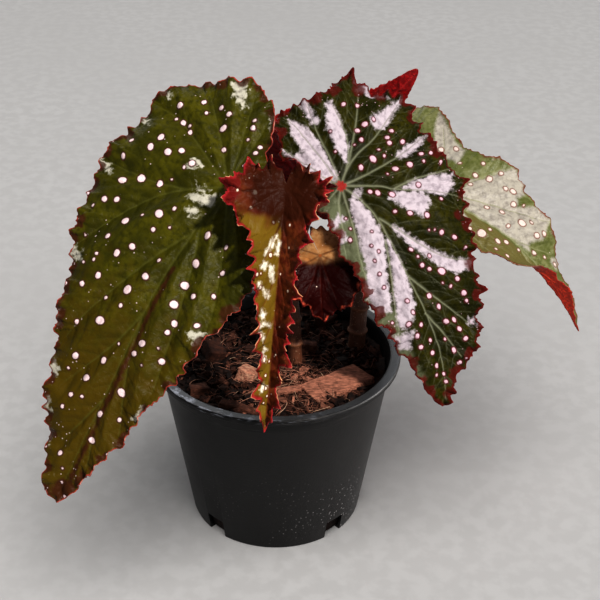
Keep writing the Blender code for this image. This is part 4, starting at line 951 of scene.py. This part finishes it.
def grow_twigs(ribs, edge_of, rng):
    """Side veins: short curved lines that leave a rib on both sides and stop short of the next one."""
    owner = np.concatenate([[k] * len(line) for k, line in enumerate(ribs)])
    rib_of = nearest_point(np.vstack(ribs))
    twigs = []
    for k, line in enumerate(ribs):
        away = rng.uniform(*TWIG_FIRST)
        while away < RIB_STEP * len(line) * TWIG_END:
            i = min(int(away / RIB_STEP), len(line) - 2)
            for side in (-1, 1):
                way = line[i + 1] - line[i]
                way = math.atan2(way[1], way[0]) + side * math.radians(rng.uniform(*TWIG_SLANT))
                drift = -side * math.radians(rng.uniform(*TWIG_TURN))
                twig = [line[i]]
                while TWIG_STEP * len(twig) < TWIG_LENGTH:
                    place = twig[-1] + TWIG_STEP * np.array([math.cos(way), math.sin(way)])
                    way += drift
                    (near,), (far,) = rib_of([place])
                    meets_rib = owner[near] != k and far < TWIG_CLEAR
                    if meets_rib or edge_of([place])[1][0] < TWIG_MARGIN:
                        break
                    twig.append(place)
                if len(twig) > TWIG_LEAST:
                    twigs.append(np.array(twig))
            away += TWIG_SPACING * rng.uniform(*TWIG_SCATTER)
    return twigs


def inside_depth(x, y, corners):
    """How deep points lie inside a closed patch, in millimetres; less than nothing outside it."""
    corners = np.array(corners, float)
    depth = np.full(len(x), 1e9)
    inside = np.zeros(len(x), bool)
    for (ax, ay), (bx, by) in zip(corners, np.roll(corners, -1, axis=0)):
        dx, dy = bx - ax, by - ay
        along = np.clip(((x - ax) * dx + (y - ay) * dy) / (dx * dx + dy * dy), 0, 1)
        depth = np.minimum(depth, np.hypot(x - ax - along * dx, y - ay - along * dy))
        crossed = (ay > y) != (by > y)
        inside ^= crossed & (x < (bx - ax) * (y - ay) / np.where(dy == 0, 1e-9, dy) + ax)
    return np.where(inside, depth, -depth)


def rough(points, size, seed):
    """Soft noise of about -1 to 1 over flat points, its lumps about size millimetres across."""
    return np.array([noise.noise((x / size, y / size, seed * 7.3)) for x, y in points]) * 1.6


def blade_marks():
    """What every blade's upper face shows: puffed green, veins, silver with painted glints and reflections,
    white spots, red margin, and on some leaves painted light and shade.
    """
    marks = bpy.data.node_groups.new("blade_marks", "ShaderNodeTree")
    for name in ("Deep", "Light", "Other", "Vein", "Silver_and_glint", "Blush_and_crease_shade", "Spot", "Ring", "Edge", "Heart_and_painted_shade"):
        marks.interface.new_socket(name, in_out="INPUT", socket_type="NodeSocketColor")
    for name in ("Tuft", "Edge width"):
        marks.interface.new_socket(name, in_out="INPUT", socket_type="NodeSocketFloat")
    marks.interface.new_socket("Colour", in_out="OUTPUT", socket_type="NodeSocketColor")
    for name in ("Roughness", "Height"):
        marks.interface.new_socket(name, in_out="OUTPUT", socket_type="NodeSocketFloat")
    given = marks.nodes.new("NodeGroupInput").outputs
    place = node(marks, "TexCoord").outputs["Object"]
    flat = node(marks, "UVMap", uv_map="flat").outputs[0]
    field = {name: mesh_value(marks, name)
             for name in ("vein", "spot", "silver_and_glint", "blush_and_crease_shade", "margin", "heart_and_painted_shade", "tone_and_painted_shade")}
    broad = between(marks, grain(marks, place, 75.0, 3.0), 0.30, 0.70)
    mottle = grain(marks, place, 420.0, 4.0)
    pebble = grain(marks, place, 1500.0, 2.0)
    net = node(marks, "TexVoronoi", {"Vector": flat, "Scale": 46.0}, feature="DISTANCE_TO_EDGE").outputs[0]
    net = between(marks, net, 0.10, 0.0)

    ground = blend(marks, broad, given["Deep"], given["Light"])
    ground = blend(marks, between(marks, mottle, 0.62, 0.25), ground, given["Deep"])
    # The other colour: a leaf's own tone, but painted light and shade on the front and inner leaves.
    ground = blend(marks, field["tone_and_painted_shade"], ground, given["Other"])
    ground = blend(marks, times(marks, net, 0.02), ground, given["Vein"])
    veined = times(marks, node(marks, "Math", {0: field["vein"], 1: 1.5}, operation="POWER").outputs[0], 0.60)
    ground = blend(marks, veined, ground, given["Vein"])

    ragged = times(marks, swing(marks, mottle, 5.0), given["Tuft"])
    ragged = plus(marks, ragged, swing(marks, pebble, 1.6))
    # Silver patches with ragged edges; many of them are painted reflections and glints.
    silver_and_glint = between(marks, plus(marks, field["silver_and_glint"], ragged), -1.30, 0.90)
    bare = between(marks, field["vein"], 0.35, 0.75)
    silver_and_glint = times(marks, silver_and_glint, minus(marks, 1.0, times(marks, bare, 0.45)))
    shine = blend(marks, between(marks, mottle, 0.25, 0.6), (0.62, 0.60, 0.62, 1), (1, 1, 1, 1))
    silver_and_glint_colour = node(marks, "Mix", {0: 1.0, 6: given["Silver_and_glint"], 7: shine}, data_type="RGBA",
                   blend_type="MULTIPLY").outputs[2]
    colour = blend(marks, times(marks, silver_and_glint, 0.94), ground, silver_and_glint_colour)

    # Red patches, and on the left leaf painted shade along the crease beside the midrib.
    blush_and_crease_shade = between(marks, plus(marks, field["blush_and_crease_shade"], swing(marks, mottle, 3.5)), -0.8, 1.0)
    colour = blend(marks, times(marks, blush_and_crease_shade, 0.9), colour, given["Blush_and_crease_shade"])
    # White spots with a darker ring; the few painted glints laid as spots take these colours too.
    spot = plus(marks, field["spot"], swing(marks, pebble, 0.5))
    ringed = times(marks, between(marks, spot, -0.80, -0.10), 0.9)
    colour = blend(marks, ringed, colour, given["Ring"])
    spotted = between(marks, spot, -0.14, 0.34)
    colour = blend(marks, spotted, colour, given["Spot"])
    speck = between(marks, cells(marks, flat, 40.0), 0.17, 0.09)
    speck = times(marks, speck, between(marks, grain(marks, flat, 9.0), 0.52, 0.60))
    colour = blend(marks, times(marks, speck, 0.55), colour, given["Spot"])
    edged = plus(marks, field["margin"], swing(marks, mottle, 1.2))
    colour = blend(marks, between(marks, edged, given["Edge width"], 0.08), colour, given["Edge"])
    # The mark at the joint: red on most leaves, a disc of painted shade on the front leaf.
    colour = blend(marks, times(marks, field["heart_and_painted_shade"], 0.9), colour, given["Heart_and_painted_shade"])

    dull = plus(marks, 0.36, times(marks, mottle, 0.16))
    dull = plus(marks, dull, times(marks, spotted, 0.12))
    puffed = plus(marks, times(marks, pebble, 0.05), times(marks, mottle, 0.14))
    puffed = minus(marks, puffed, times(marks, net, 0.05))
    puffed = plus(marks, puffed, times(marks, speck, 0.08))
    output = marks.nodes.new("NodeGroupOutput")
    for name, value in (("Colour", colour), ("Roughness", dull), ("Height", puffed)):
        marks.links.new(value, output.inputs[name])
    return marks


def blade_top(name, leaf, marks):
    """The fleshy satin upper skin."""
    finish, tree, shader = new_finish(name + "_top", 0.4, Specular_IOR_Level=leaf["gloss"])
    skin = node(tree, "Group", node_tree=marks)
    for colour, value in leaf["colours"].items():
        if colour not in ("under", "rim"):
            skin.inputs[colour.capitalize()].default_value = value
    skin.inputs["Tuft"].default_value = leaf["tuft"]
    skin.inputs["Edge width"].default_value = leaf["edge_width"]
    tree.links.new(skin.outputs["Colour"], shader.inputs["Base Color"])
    tree.links.new(skin.outputs["Roughness"], shader.inputs["Roughness"])
    raise_surface(tree, shader, skin.outputs["Height"])
    return finish


def blade_underside(name, leaf):
    """The red underside, its veins standing out paler."""
    finish, tree, shader = new_finish(name + "_underside", 0.42, Specular_IOR_Level=0.3)
    place = node(tree, "TexCoord").outputs["Object"]
    vein = mesh_value(tree, "vein")
    cloudy = grain(tree, place, 90.0, 4.0)
    mottle = grain(tree, place, 700.0, 3.0)
    red = leaf["colours"]["under"]
    dark = (red[0] * 0.45, red[1] * 0.5, red[2] * 0.5, 1)
    pale = (min(1, red[0] * 1.5 + 0.05), red[1] * 2 + 0.02, red[2] * 2 + 0.02, 1)
    colour = blend(tree, between(tree, cloudy, 0.3, 0.65), dark, red)
    colour = blend(tree, between(tree, mottle, 0.70, 0.40), colour, dark)
    colour = blend(tree, times(tree, vein, 0.5), colour, pale)
    tree.links.new(colour, shader.inputs["Base Color"])
    raise_surface(tree, shader, plus(tree, times(tree, mottle, 0.14), times(tree, vein, 0.3)))
    return finish


def blade_rim(name, leaf):
    """The thin red edge, in places paler where it catches light through."""
    finish, tree, shader = new_finish(name + "_rim", 0.4)
    place = node(tree, "TexCoord").outputs["Object"]
    red = leaf["colours"]["edge"]
    dark = (red[0] * 0.5, red[1] * 0.3, red[2] * 0.3, 1)
    colour = blend(tree, between(tree, grain(tree, place, 260.0, 3.0), 0.35, 0.6), dark, red)
    lit = between(tree, grain(tree, place, 130.0, 2.0), 0.42, 0.58)
    colour = blend(tree, lit, colour, leaf["colours"]["rim"])
    tree.links.new(colour, shader.inputs["Base Color"])
    return finish


def blade_margin(leaf, rng):
    """The toothed margin of the flat blade, and the way walked along it."""
    corners = [(r * math.sin(math.radians(a)), r * math.cos(math.radians(a))) for a, r in leaf["outline"]]
    edge, walked = even_line(corners, leaf["step"] * EDGE_STEP)
    tip_way = walked[np.argmax(edge[:, 1])]
    along = np.gradient(edge, axis=0)
    along /= np.linalg.norm(along, axis=1)[:, None]
    outward = np.stack([-along[:, 1], along[:, 0]], -1)
    stand = sum(teeth(walked, pitch, height, tip_way, rng) for pitch, height in leaf["teeth"])
    stand = (stand - 0.5 * leaf["teeth"][0][1]) * np.clip(np.hypot(*edge.T) / JOINT_EASE, 0.15, 1)
    stand = stand * np.clip((edge[:, 0] / MIDRIB_EASE) ** 2, 0.1, 1)
    return edge + outward * stand[:, None], walked


def fill_outline(border, step, rng):
    """Points and triangles that fill a closed outline evenly."""
    low, high = border.min(axis=0), border.max(axis=0)
    rows = np.arange(low[1], high[1], step * ROW_STEP)
    inner = np.array([(x + (step / 2 if k % 2 else 0) + step * rng.uniform(-GRID_SHAKE, GRID_SHAKE),
                       y + step * rng.uniform(-GRID_SHAKE, GRID_SHAKE))
                      for k, y in enumerate(rows) for x in np.arange(low[0], high[0], step)])
    inner = inner[nearest_point(border)(inner)[1] > step * GRID_CLEAR]
    flat, _, faces, *_ = delaunay_2d_cdt([Vector(p) for p in np.vstack([border, inner])], [],
                                         [list(range(len(border)))], 1, 1e-4)
    flat, faces = np.array([tuple(p) for p in flat]), np.array(faces)
    used = np.unique(faces.ravel())
    renumber = np.zeros(len(flat), int)
    renumber[used] = np.arange(len(used))
    return flat[used], renumber[faces]


def line_field(lines, width, flat):
    """How far each point is from the nearest of some lines, and how much of the line it shows."""
    share = np.concatenate([np.linspace(0, 1, len(line)) for line in lines])
    nearest, far = nearest_point(np.vstack(lines))(flat)
    return far, np.exp(-(far / (width[0] + (width[1] - width[0]) * share[nearest])) ** 2)


def spot_field(leaf, flat, margin, rib_far, rng):
    """How deep each point lies in a white spot, in millimetres; less than nothing outside the spots. A few
    spots are painted glints.
    """
    x, y = flat.T
    spots = list(leaf["spots"])
    for _ in range(leaf["random_spots"]):
        k = rng.randrange(len(flat))
        size = rng.uniform(*STRAY_SPOTS)
        clear = all(math.hypot(x[k] - sx, y[k] - sy) > s + size for sx, sy, s in spots)
        if clear and margin[k] > size and rib_far[k] > size * 0.7:
            spots.append((x[k], y[k], size))
    depth = np.full(len(flat), NO_SPOT)
    for sx, sy, size in spots:
        slant, stretch = rng.uniform(0, math.pi), rng.uniform(*SPOT_STRETCH)
        dx, dy = x - sx, y - sy
        across = dx * math.cos(slant) + dy * math.sin(slant)
        over = dy * math.cos(slant) - dx * math.sin(slant)
        depth = np.maximum(depth, SPOT_SIZE * size - np.hypot(across / stretch, over * stretch))
    return depth


def patch_fields(leaf, flat, margin, margin_way, rib_line):
    """The silver patches and glints, red patches with painted crease shade, the mark at the joint (a disc
    of painted shade on the front leaf) and the part in the other colour, painted light and shade on the
    front and inner leaves.
    """
    x, y = flat.T
    silver_and_glint = np.full(len(flat), NO_SILVER_AND_GLINT)
    for patch in leaf["silver_and_glint"]:
        silver_and_glint = np.maximum(silver_and_glint, inside_depth(x, y, patch))
    waver = rough(np.stack([margin_way, margin * 0.4], -1), 5.0, leaf["seed"])
    blush_and_crease_shade = leaf["blush_reach"] * (0.25 + 0.75 * waver) - margin
    # Red circles, and on the left leaf a row of painted crease shade beside the midrib.
    for bx, by, size in leaf["blush_and_crease_shade"]:
        blush_and_crease_shade = np.maximum(blush_and_crease_shade, BLUSH_SIZE * size - np.hypot(x - bx, y - by))
    # A red star at the joint on most leaves; on the front leaf a wide disc of painted shade.
    disc, star = leaf["heart_and_painted_shade"]
    heart_and_painted_shade = disc + star * rib_line + 0.15 * disc * rough(flat, 4.0, 8) - np.hypot(x, y)
    heart_and_painted_shade = smooth_step(heart_and_painted_shade / (0.6 + 0.3 * disc) + 0.5)
    axis, start, full, least = leaf["tone_and_painted_shade"]
    tone_and_painted_shade = smooth_step(((x if axis == "x" else y) - start) / (full - start) + 0.15 * rough(flat, 3.0, 5))
    tone_and_painted_shade = tone_and_painted_shade * smooth_step((y - least) / 9 + 0.4 * rough(flat, 5.0, 6))
    return silver_and_glint, blush_and_crease_shade, heart_and_painted_shade, tone_and_painted_shade


def blade_rise(leaf, flat, margin, margin_way, total_way, ribs, twigs, spot):
    """Height of the upper face over the flat blade: puffed between its veins, waved at its margin."""
    (rib_far, rib_line), (twig_far, twig_line) = ribs, twigs
    near_joint = np.hypot(*flat.T)
    away = np.clip(near_joint / PUFF_EASE, 0, 1)
    quiet = 0.35 + 0.65 * smooth_step(margin / RIM_EASE)
    rise = leaf["pleat"] * (1 - np.exp(-(rib_far / RIB_PUFF) ** 2)) * quiet * away
    rise += TWIG_RISE * (1 - np.exp(-(twig_far / TWIG_PUFF) ** 2)) * away
    rise -= (RIB_SINK * rib_line + TWIG_SINK * twig_line) * away
    fade = np.exp(-margin / RUFFLE_DEPTH) * np.minimum(1, np.abs(flat[:, 0]) / RUFFLE_DEPTH)
    rise += leaf["ruffle"] * fade * np.sin(math.tau * leaf["ruffles"] * margin_way / total_way)
    pitch, height = leaf["frill"]
    frill_way = math.tau * margin_way / pitch + 2.2 * rough(np.stack([margin_way, margin * 0], -1), 16.0, 3)
    frill = height * np.exp(-margin / FRILL_DEPTH) * np.sin(frill_way)
    rise += frill * np.clip(near_joint / JOINT_EASE, 0, 1)
    rise += LUMP_RISE[0] * rough(flat, LUMP_SIZE[0], 1) + LUMP_RISE[1] * rough(flat, LUMP_SIZE[1], 2)
    return rise + SPOT_RISE * smooth_step((spot + 0.15) / 0.7)


def make_blade(name, leaf, marks):
    """Draws the flat blade, works out its veins and marks, and carries it to its place as a thin shell."""
    rng = random.Random(leaf["seed"])
    edge, walked = blade_margin(leaf, rng)
    cleft = math.radians((leaf["outline"][0][0] + leaf["outline"][-1][0]) / 2 + 180)
    notch = np.array([[CLEFT_DEPTH * math.sin(cleft), CLEFT_DEPTH * math.cos(cleft)]])
    edge_of = nearest_point(edge)
    flat, faces = fill_outline(np.vstack([edge, notch])[::-1], leaf["step"], rng)
    nearest, margin = edge_of(flat)
    margin_way = walked[nearest]
    ribs = [even_line(points, RIB_STEP)[0] for points in leaf["ribs"]]
    twigs = line_field(grow_twigs(ribs, edge_of, rng), TWIG_WIDTH, flat)
    ribs = line_field(ribs, RIB_WIDTH, flat)
    spot = spot_field(leaf, flat, margin, ribs[0], rng)
    silver_and_glint, blush_and_crease_shade, heart_and_painted_shade, tone_and_painted_shade = patch_fields(leaf, flat, margin, margin_way, ribs[1])
    rise = blade_rise(leaf, flat, margin, margin_way, walked[-1], ribs, twigs, spot)

    mesh = bpy.data.meshes.new(name + "_blade")
    mesh.from_pydata(carry(leaf, *flat.T, rise).tolist(), [], faces.tolist())
    vein = np.maximum(ribs[1], 0.5 * twigs[1])
    for field, values in (("vein", vein), ("spot", spot), ("silver_and_glint", silver_and_glint), ("blush_and_crease_shade", blush_and_crease_shade),
                          ("margin", margin), ("heart_and_painted_shade", heart_and_painted_shade), ("tone_and_painted_shade", tone_and_painted_shade)):
        mesh.attributes.new(field, "FLOAT", "POINT").data.foreach_set("value", values.astype(np.float32))
    uv = mesh.uv_layers.new(name="flat")
    uv.data.foreach_set("uv", (flat[faces.ravel()] * UV_SCALE).astype(np.float32).ravel())
    mesh.shade_smooth()
    for finish in (blade_top(name, leaf, marks), blade_underside(name, leaf), blade_rim(name, leaf)):
        mesh.materials.append(finish)
    blade = bpy.data.objects.new(name + "_blade", mesh)
    bpy.context.scene.collection.objects.link(blade)
    skin = blade.modifiers.new("thickness", "SOLIDIFY")
    skin.thickness = BLADE_THICKNESS
    skin.offset = -1.0
    skin.material_offset = 1
    skin.material_offset_rim = 2
    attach(blade, "root")
    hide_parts(name)


blade_skin_marks = blade_marks()
for blade_name, blade_form in BLADES.items():
    make_blade(blade_name, blade_form, blade_skin_marks)


# The leaf stalks
# Round red stalks, a little hairy, that leave their cane above a joint ring and swell where they meet the
# blade's underside.
STALK_SIDES = 16
STALK_POINTS = 46
STALK_EASE = 0.40
STALK_CLIMB = 0.25
STALK_TAPER = 0.2
STALK_SIDE_DIP = 0.6
STALK_GAP = 0.0003
STALK_SINK = 0.0012
STALK_PRESS = 0.0004
STALK_SWELLS = ((0.22, 0.05), (0.25, 0.04))
CAD_BLADE = 0.0008
STALKS = {
    # radius, cane, joint of the cane, side from which it reaches the blade
    "leaf_left": (0.0016, "cane_left", 7, -119), "leaf_right": (0.0017, "cane_right", 6, None),
    "leaf_far_right": (0.0015, "cane_right", 5, None), "leaf_front": (0.0014, "cane_left", 8, None),
    "leaf_back": (0.0015, "cane_left", 5, None), "leaf_inner": (0.0012, "cane_left", 4, None),
}


def stalk_skin():
    """Glossy red skin, patchy dark red to orange-red, with short pale hairs that show as fine bumps."""
    finish, tree, shader = new_finish("stalk", 0.4, Coat_Weight=0.15, Coat_Roughness=0.2)
    place = node(tree, "TexCoord").outputs["Object"]
    cloudy = grain(tree, place, 160.0, 3.0)
    fine = grain(tree, place, 1400.0, 3.0)
    hair = between(tree, cells(tree, place, 900.0), 0.22, 0.10)
    colour = blend(tree, between(tree, cloudy, 0.3, 0.7), (0.20, 0.018, 0.012, 1), (0.38, 0.085, 0.035, 1))
    colour = blend(tree, times(tree, hair, 0.4), colour, (0.70, 0.40, 0.30, 1))
    tree.links.new(colour, shader.inputs["Base Color"])
    raise_surface(tree, shader, plus(tree, times(tree, fine, 0.15), times(tree, hair, 0.2)))
    return finish


def make_stalk(name, skin):
    """One easy curve from a joint of its cane to just under the blade."""
    radius, cane, number, side = STALKS[name]
    joint, sideways, tipward, upper, _ = leaf_frame(BLADES[name])
    arrive = -upper
    if side is not None:
        turn = math.radians(side)
        arrive = (sideways * math.sin(turn) + tipward * math.cos(turn) - upper * STALK_SIDE_DIP).normalized()
    lean = math.sqrt(max(0.0, 1 - arrive.dot(upper) ** 2))
    end = joint + arrive * STALK_GAP - upper * (CAD_BLADE + STALK_GAP + radius * lean)
    line, walked = cane_lines[cane]
    distance = NODE_SPACING * (number + 0.5)
    root = Vector(np.interp(distance, walked, axis) for axis in line.T)
    out = end - root
    out.z = 0
    out.normalize()
    ring = cane_radius(cane, distance, walked[-1]) * (1 + NODE_SWELL)
    start = root + out * (ring + STALK_GAP)
    reach = (end - start).length * STALK_EASE
    climb = (out + Vector((0, 0, STALK_CLIMB))) * reach
    curve = list(interpolate_bezier(start, start + climb, end + arrive * reach, end, STALK_POINTS))
    curve = [start - climb.normalized() * STALK_SINK] + curve + [end - arrive * STALK_PRESS]
    share = np.linspace(0, 1, len(curve))
    (at_blade, blade_reach), (at_cane, cane_reach) = STALK_SWELLS
    swell = 1 + STALK_TAPER * (1 - share) + at_blade * np.exp(-(1 - share) / blade_reach)
    swell += at_cane * np.exp(-share / cane_reach)
    bm = bmesh.new()
    stem(bm, curve, [radius * s for s in swell], STALK_SIDES)
    stalk = add_piece(name.replace("leaf", "leaf_stalk"), bm, [skin])
    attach(stalk, "root")
    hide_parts(name.replace("leaf", "stalk"))


red_skin = stalk_skin()
for stalk_name in STALKS:
    make_stalk(stalk_name, red_skin)


# The stage
# A plain pale floor with a soft light of its own, a key light from the right like low sun through haze, weak
# light from behind, two sheens on the pot, a gleam on the inner leaf, and a pale surround.
FLOOR_SIZE = 3.2
LIT_PLACE = Vector((0.0, -0.01, 0.10))
SURROUND_COLOUR = (0.93, 0.96, 1.0, 1)
SURROUND_STRENGTH = 0.24
EXPOSURE = 0.45
GAMMA = 0.80


def floor_finish():
    """Pale matt paint, a little cloudy."""
    finish, tree, shader = new_finish("floor", 0.85)
    place = node(tree, "TexCoord").outputs["Object"]
    broad = grain(tree, place, 7.0, 4.0)
    fine = grain(tree, place, 110.0, 4.0)
    colour = blend(tree, broad, (0.54, 0.525, 0.51, 1), (0.62, 0.605, 0.59, 1))
    colour = blend(tree, between(tree, fine, 0.40, 0.62), (0.55, 0.535, 0.52, 1), colour)
    tree.links.new(colour, shader.inputs["Base Color"])
    return finish


bm = bmesh.new()
bmesh.ops.create_grid(bm, x_segments=2, y_segments=2, size=FLOOR_SIZE)
floor = add_piece("floor", bm, [floor_finish()], smooth=False)

LIGHTS = {
    # turn to the right of the front, rise, distance, size, power, colour, the only pieces it lights (None
    # for all but the floor)
    "key": (38, 47, 2.6, 0.16, 72.0, (1.0, 0.96, 0.91), None),
    "softbox": (8, 64, 5.0, 4.50, 216.0, (1.0, 0.99, 0.98), ["floor"]),
    "gleam": (6, 41, 2.2, 0.20, 36.0, (1.0, 0.96, 0.90), ["leaf_inner_blade"]),
    "side_sheen": (90, 12, 1.6, 1.00, 66.0, (1.0, 0.98, 0.96), ["nursery_pot"]),
    "back_fill": (205, 32, 2.4, 1.60, 13.0, (1.0, 0.98, 0.96), None),
    "lip_sheen": (172, 33, 2.2, 0.90, 17.0, (0.90, 0.94, 1.0), ["nursery_pot"]),
}
for name, (turn, rise, far, size, power, colour, only) in LIGHTS.items():
    lamp = bpy.data.lights.new(name, "AREA")
    lamp.energy = power
    lamp.size = size
    lamp.color = colour
    turn, rise = math.radians(turn), math.radians(rise)
    toward = Vector((math.sin(turn) * math.cos(rise), -math.cos(turn) * math.cos(rise), math.sin(rise)))
    hung = bpy.data.objects.new(name, lamp)
    hung.location = LIT_PLACE + toward * far
    hung.rotation_mode = "QUATERNION"
    hung.rotation_quaternion = (-toward).to_track_quat("-Z", "Y")
    bpy.context.scene.collection.objects.link(hung)
    lit = bpy.data.collections.new(name + "_lights")
    for piece in only or ["floor"]:
        lit.objects.link(bpy.data.objects[piece])
        lit.collection_objects[0].light_linking.link_state = "INCLUDE" if only else "EXCLUDE"
    hung.light_linking.receiver_collection = lit

surround = bpy.data.worlds.new("surround")
surround.use_nodes = True
surround.node_tree.nodes["Background"].inputs[0].default_value = SURROUND_COLOUR
surround.node_tree.nodes["Background"].inputs[1].default_value = SURROUND_STRENGTH
bpy.context.scene.world = surround
bpy.context.scene.view_settings.view_transform = "Standard"
bpy.context.scene.view_settings.exposure = EXPOSURE
bpy.context.scene.view_settings.gamma = GAMMA

CAMERA_PLACE = (0.0111, -0.4869, 0.3979)
CAMERA_DOWN = math.radians(30.23)
CAMERA_ROLL = math.radians(0.59)
FOCAL_PIXELS = 1212.6
PICTURE_PIXELS = 600
SENSOR = 36.0
CLIP_START = 0.01
ahead = Vector((0, math.cos(CAMERA_DOWN), -math.sin(CAMERA_DOWN)))
level_up = Vector((0, math.sin(CAMERA_DOWN), math.cos(CAMERA_DOWN)))
rightward = Vector((1, 0, 0)) * math.cos(CAMERA_ROLL) + level_up * math.sin(CAMERA_ROLL)
upward = level_up * math.cos(CAMERA_ROLL) - Vector((1, 0, 0)) * math.sin(CAMERA_ROLL)
lens = bpy.data.cameras.new("camera")
lens.sensor_width = SENSOR
lens.lens = SENSOR * FOCAL_PIXELS / PICTURE_PIXELS
lens.clip_start = CLIP_START
camera = bpy.data.objects.new("camera", lens)
turned = Matrix((rightward, upward, -ahead)).transposed()
camera.matrix_world = Matrix.Translation(CAMERA_PLACE) @ turned.to_4x4()
bpy.context.scene.collection.objects.link(camera)
bpy.context.scene.camera = camera
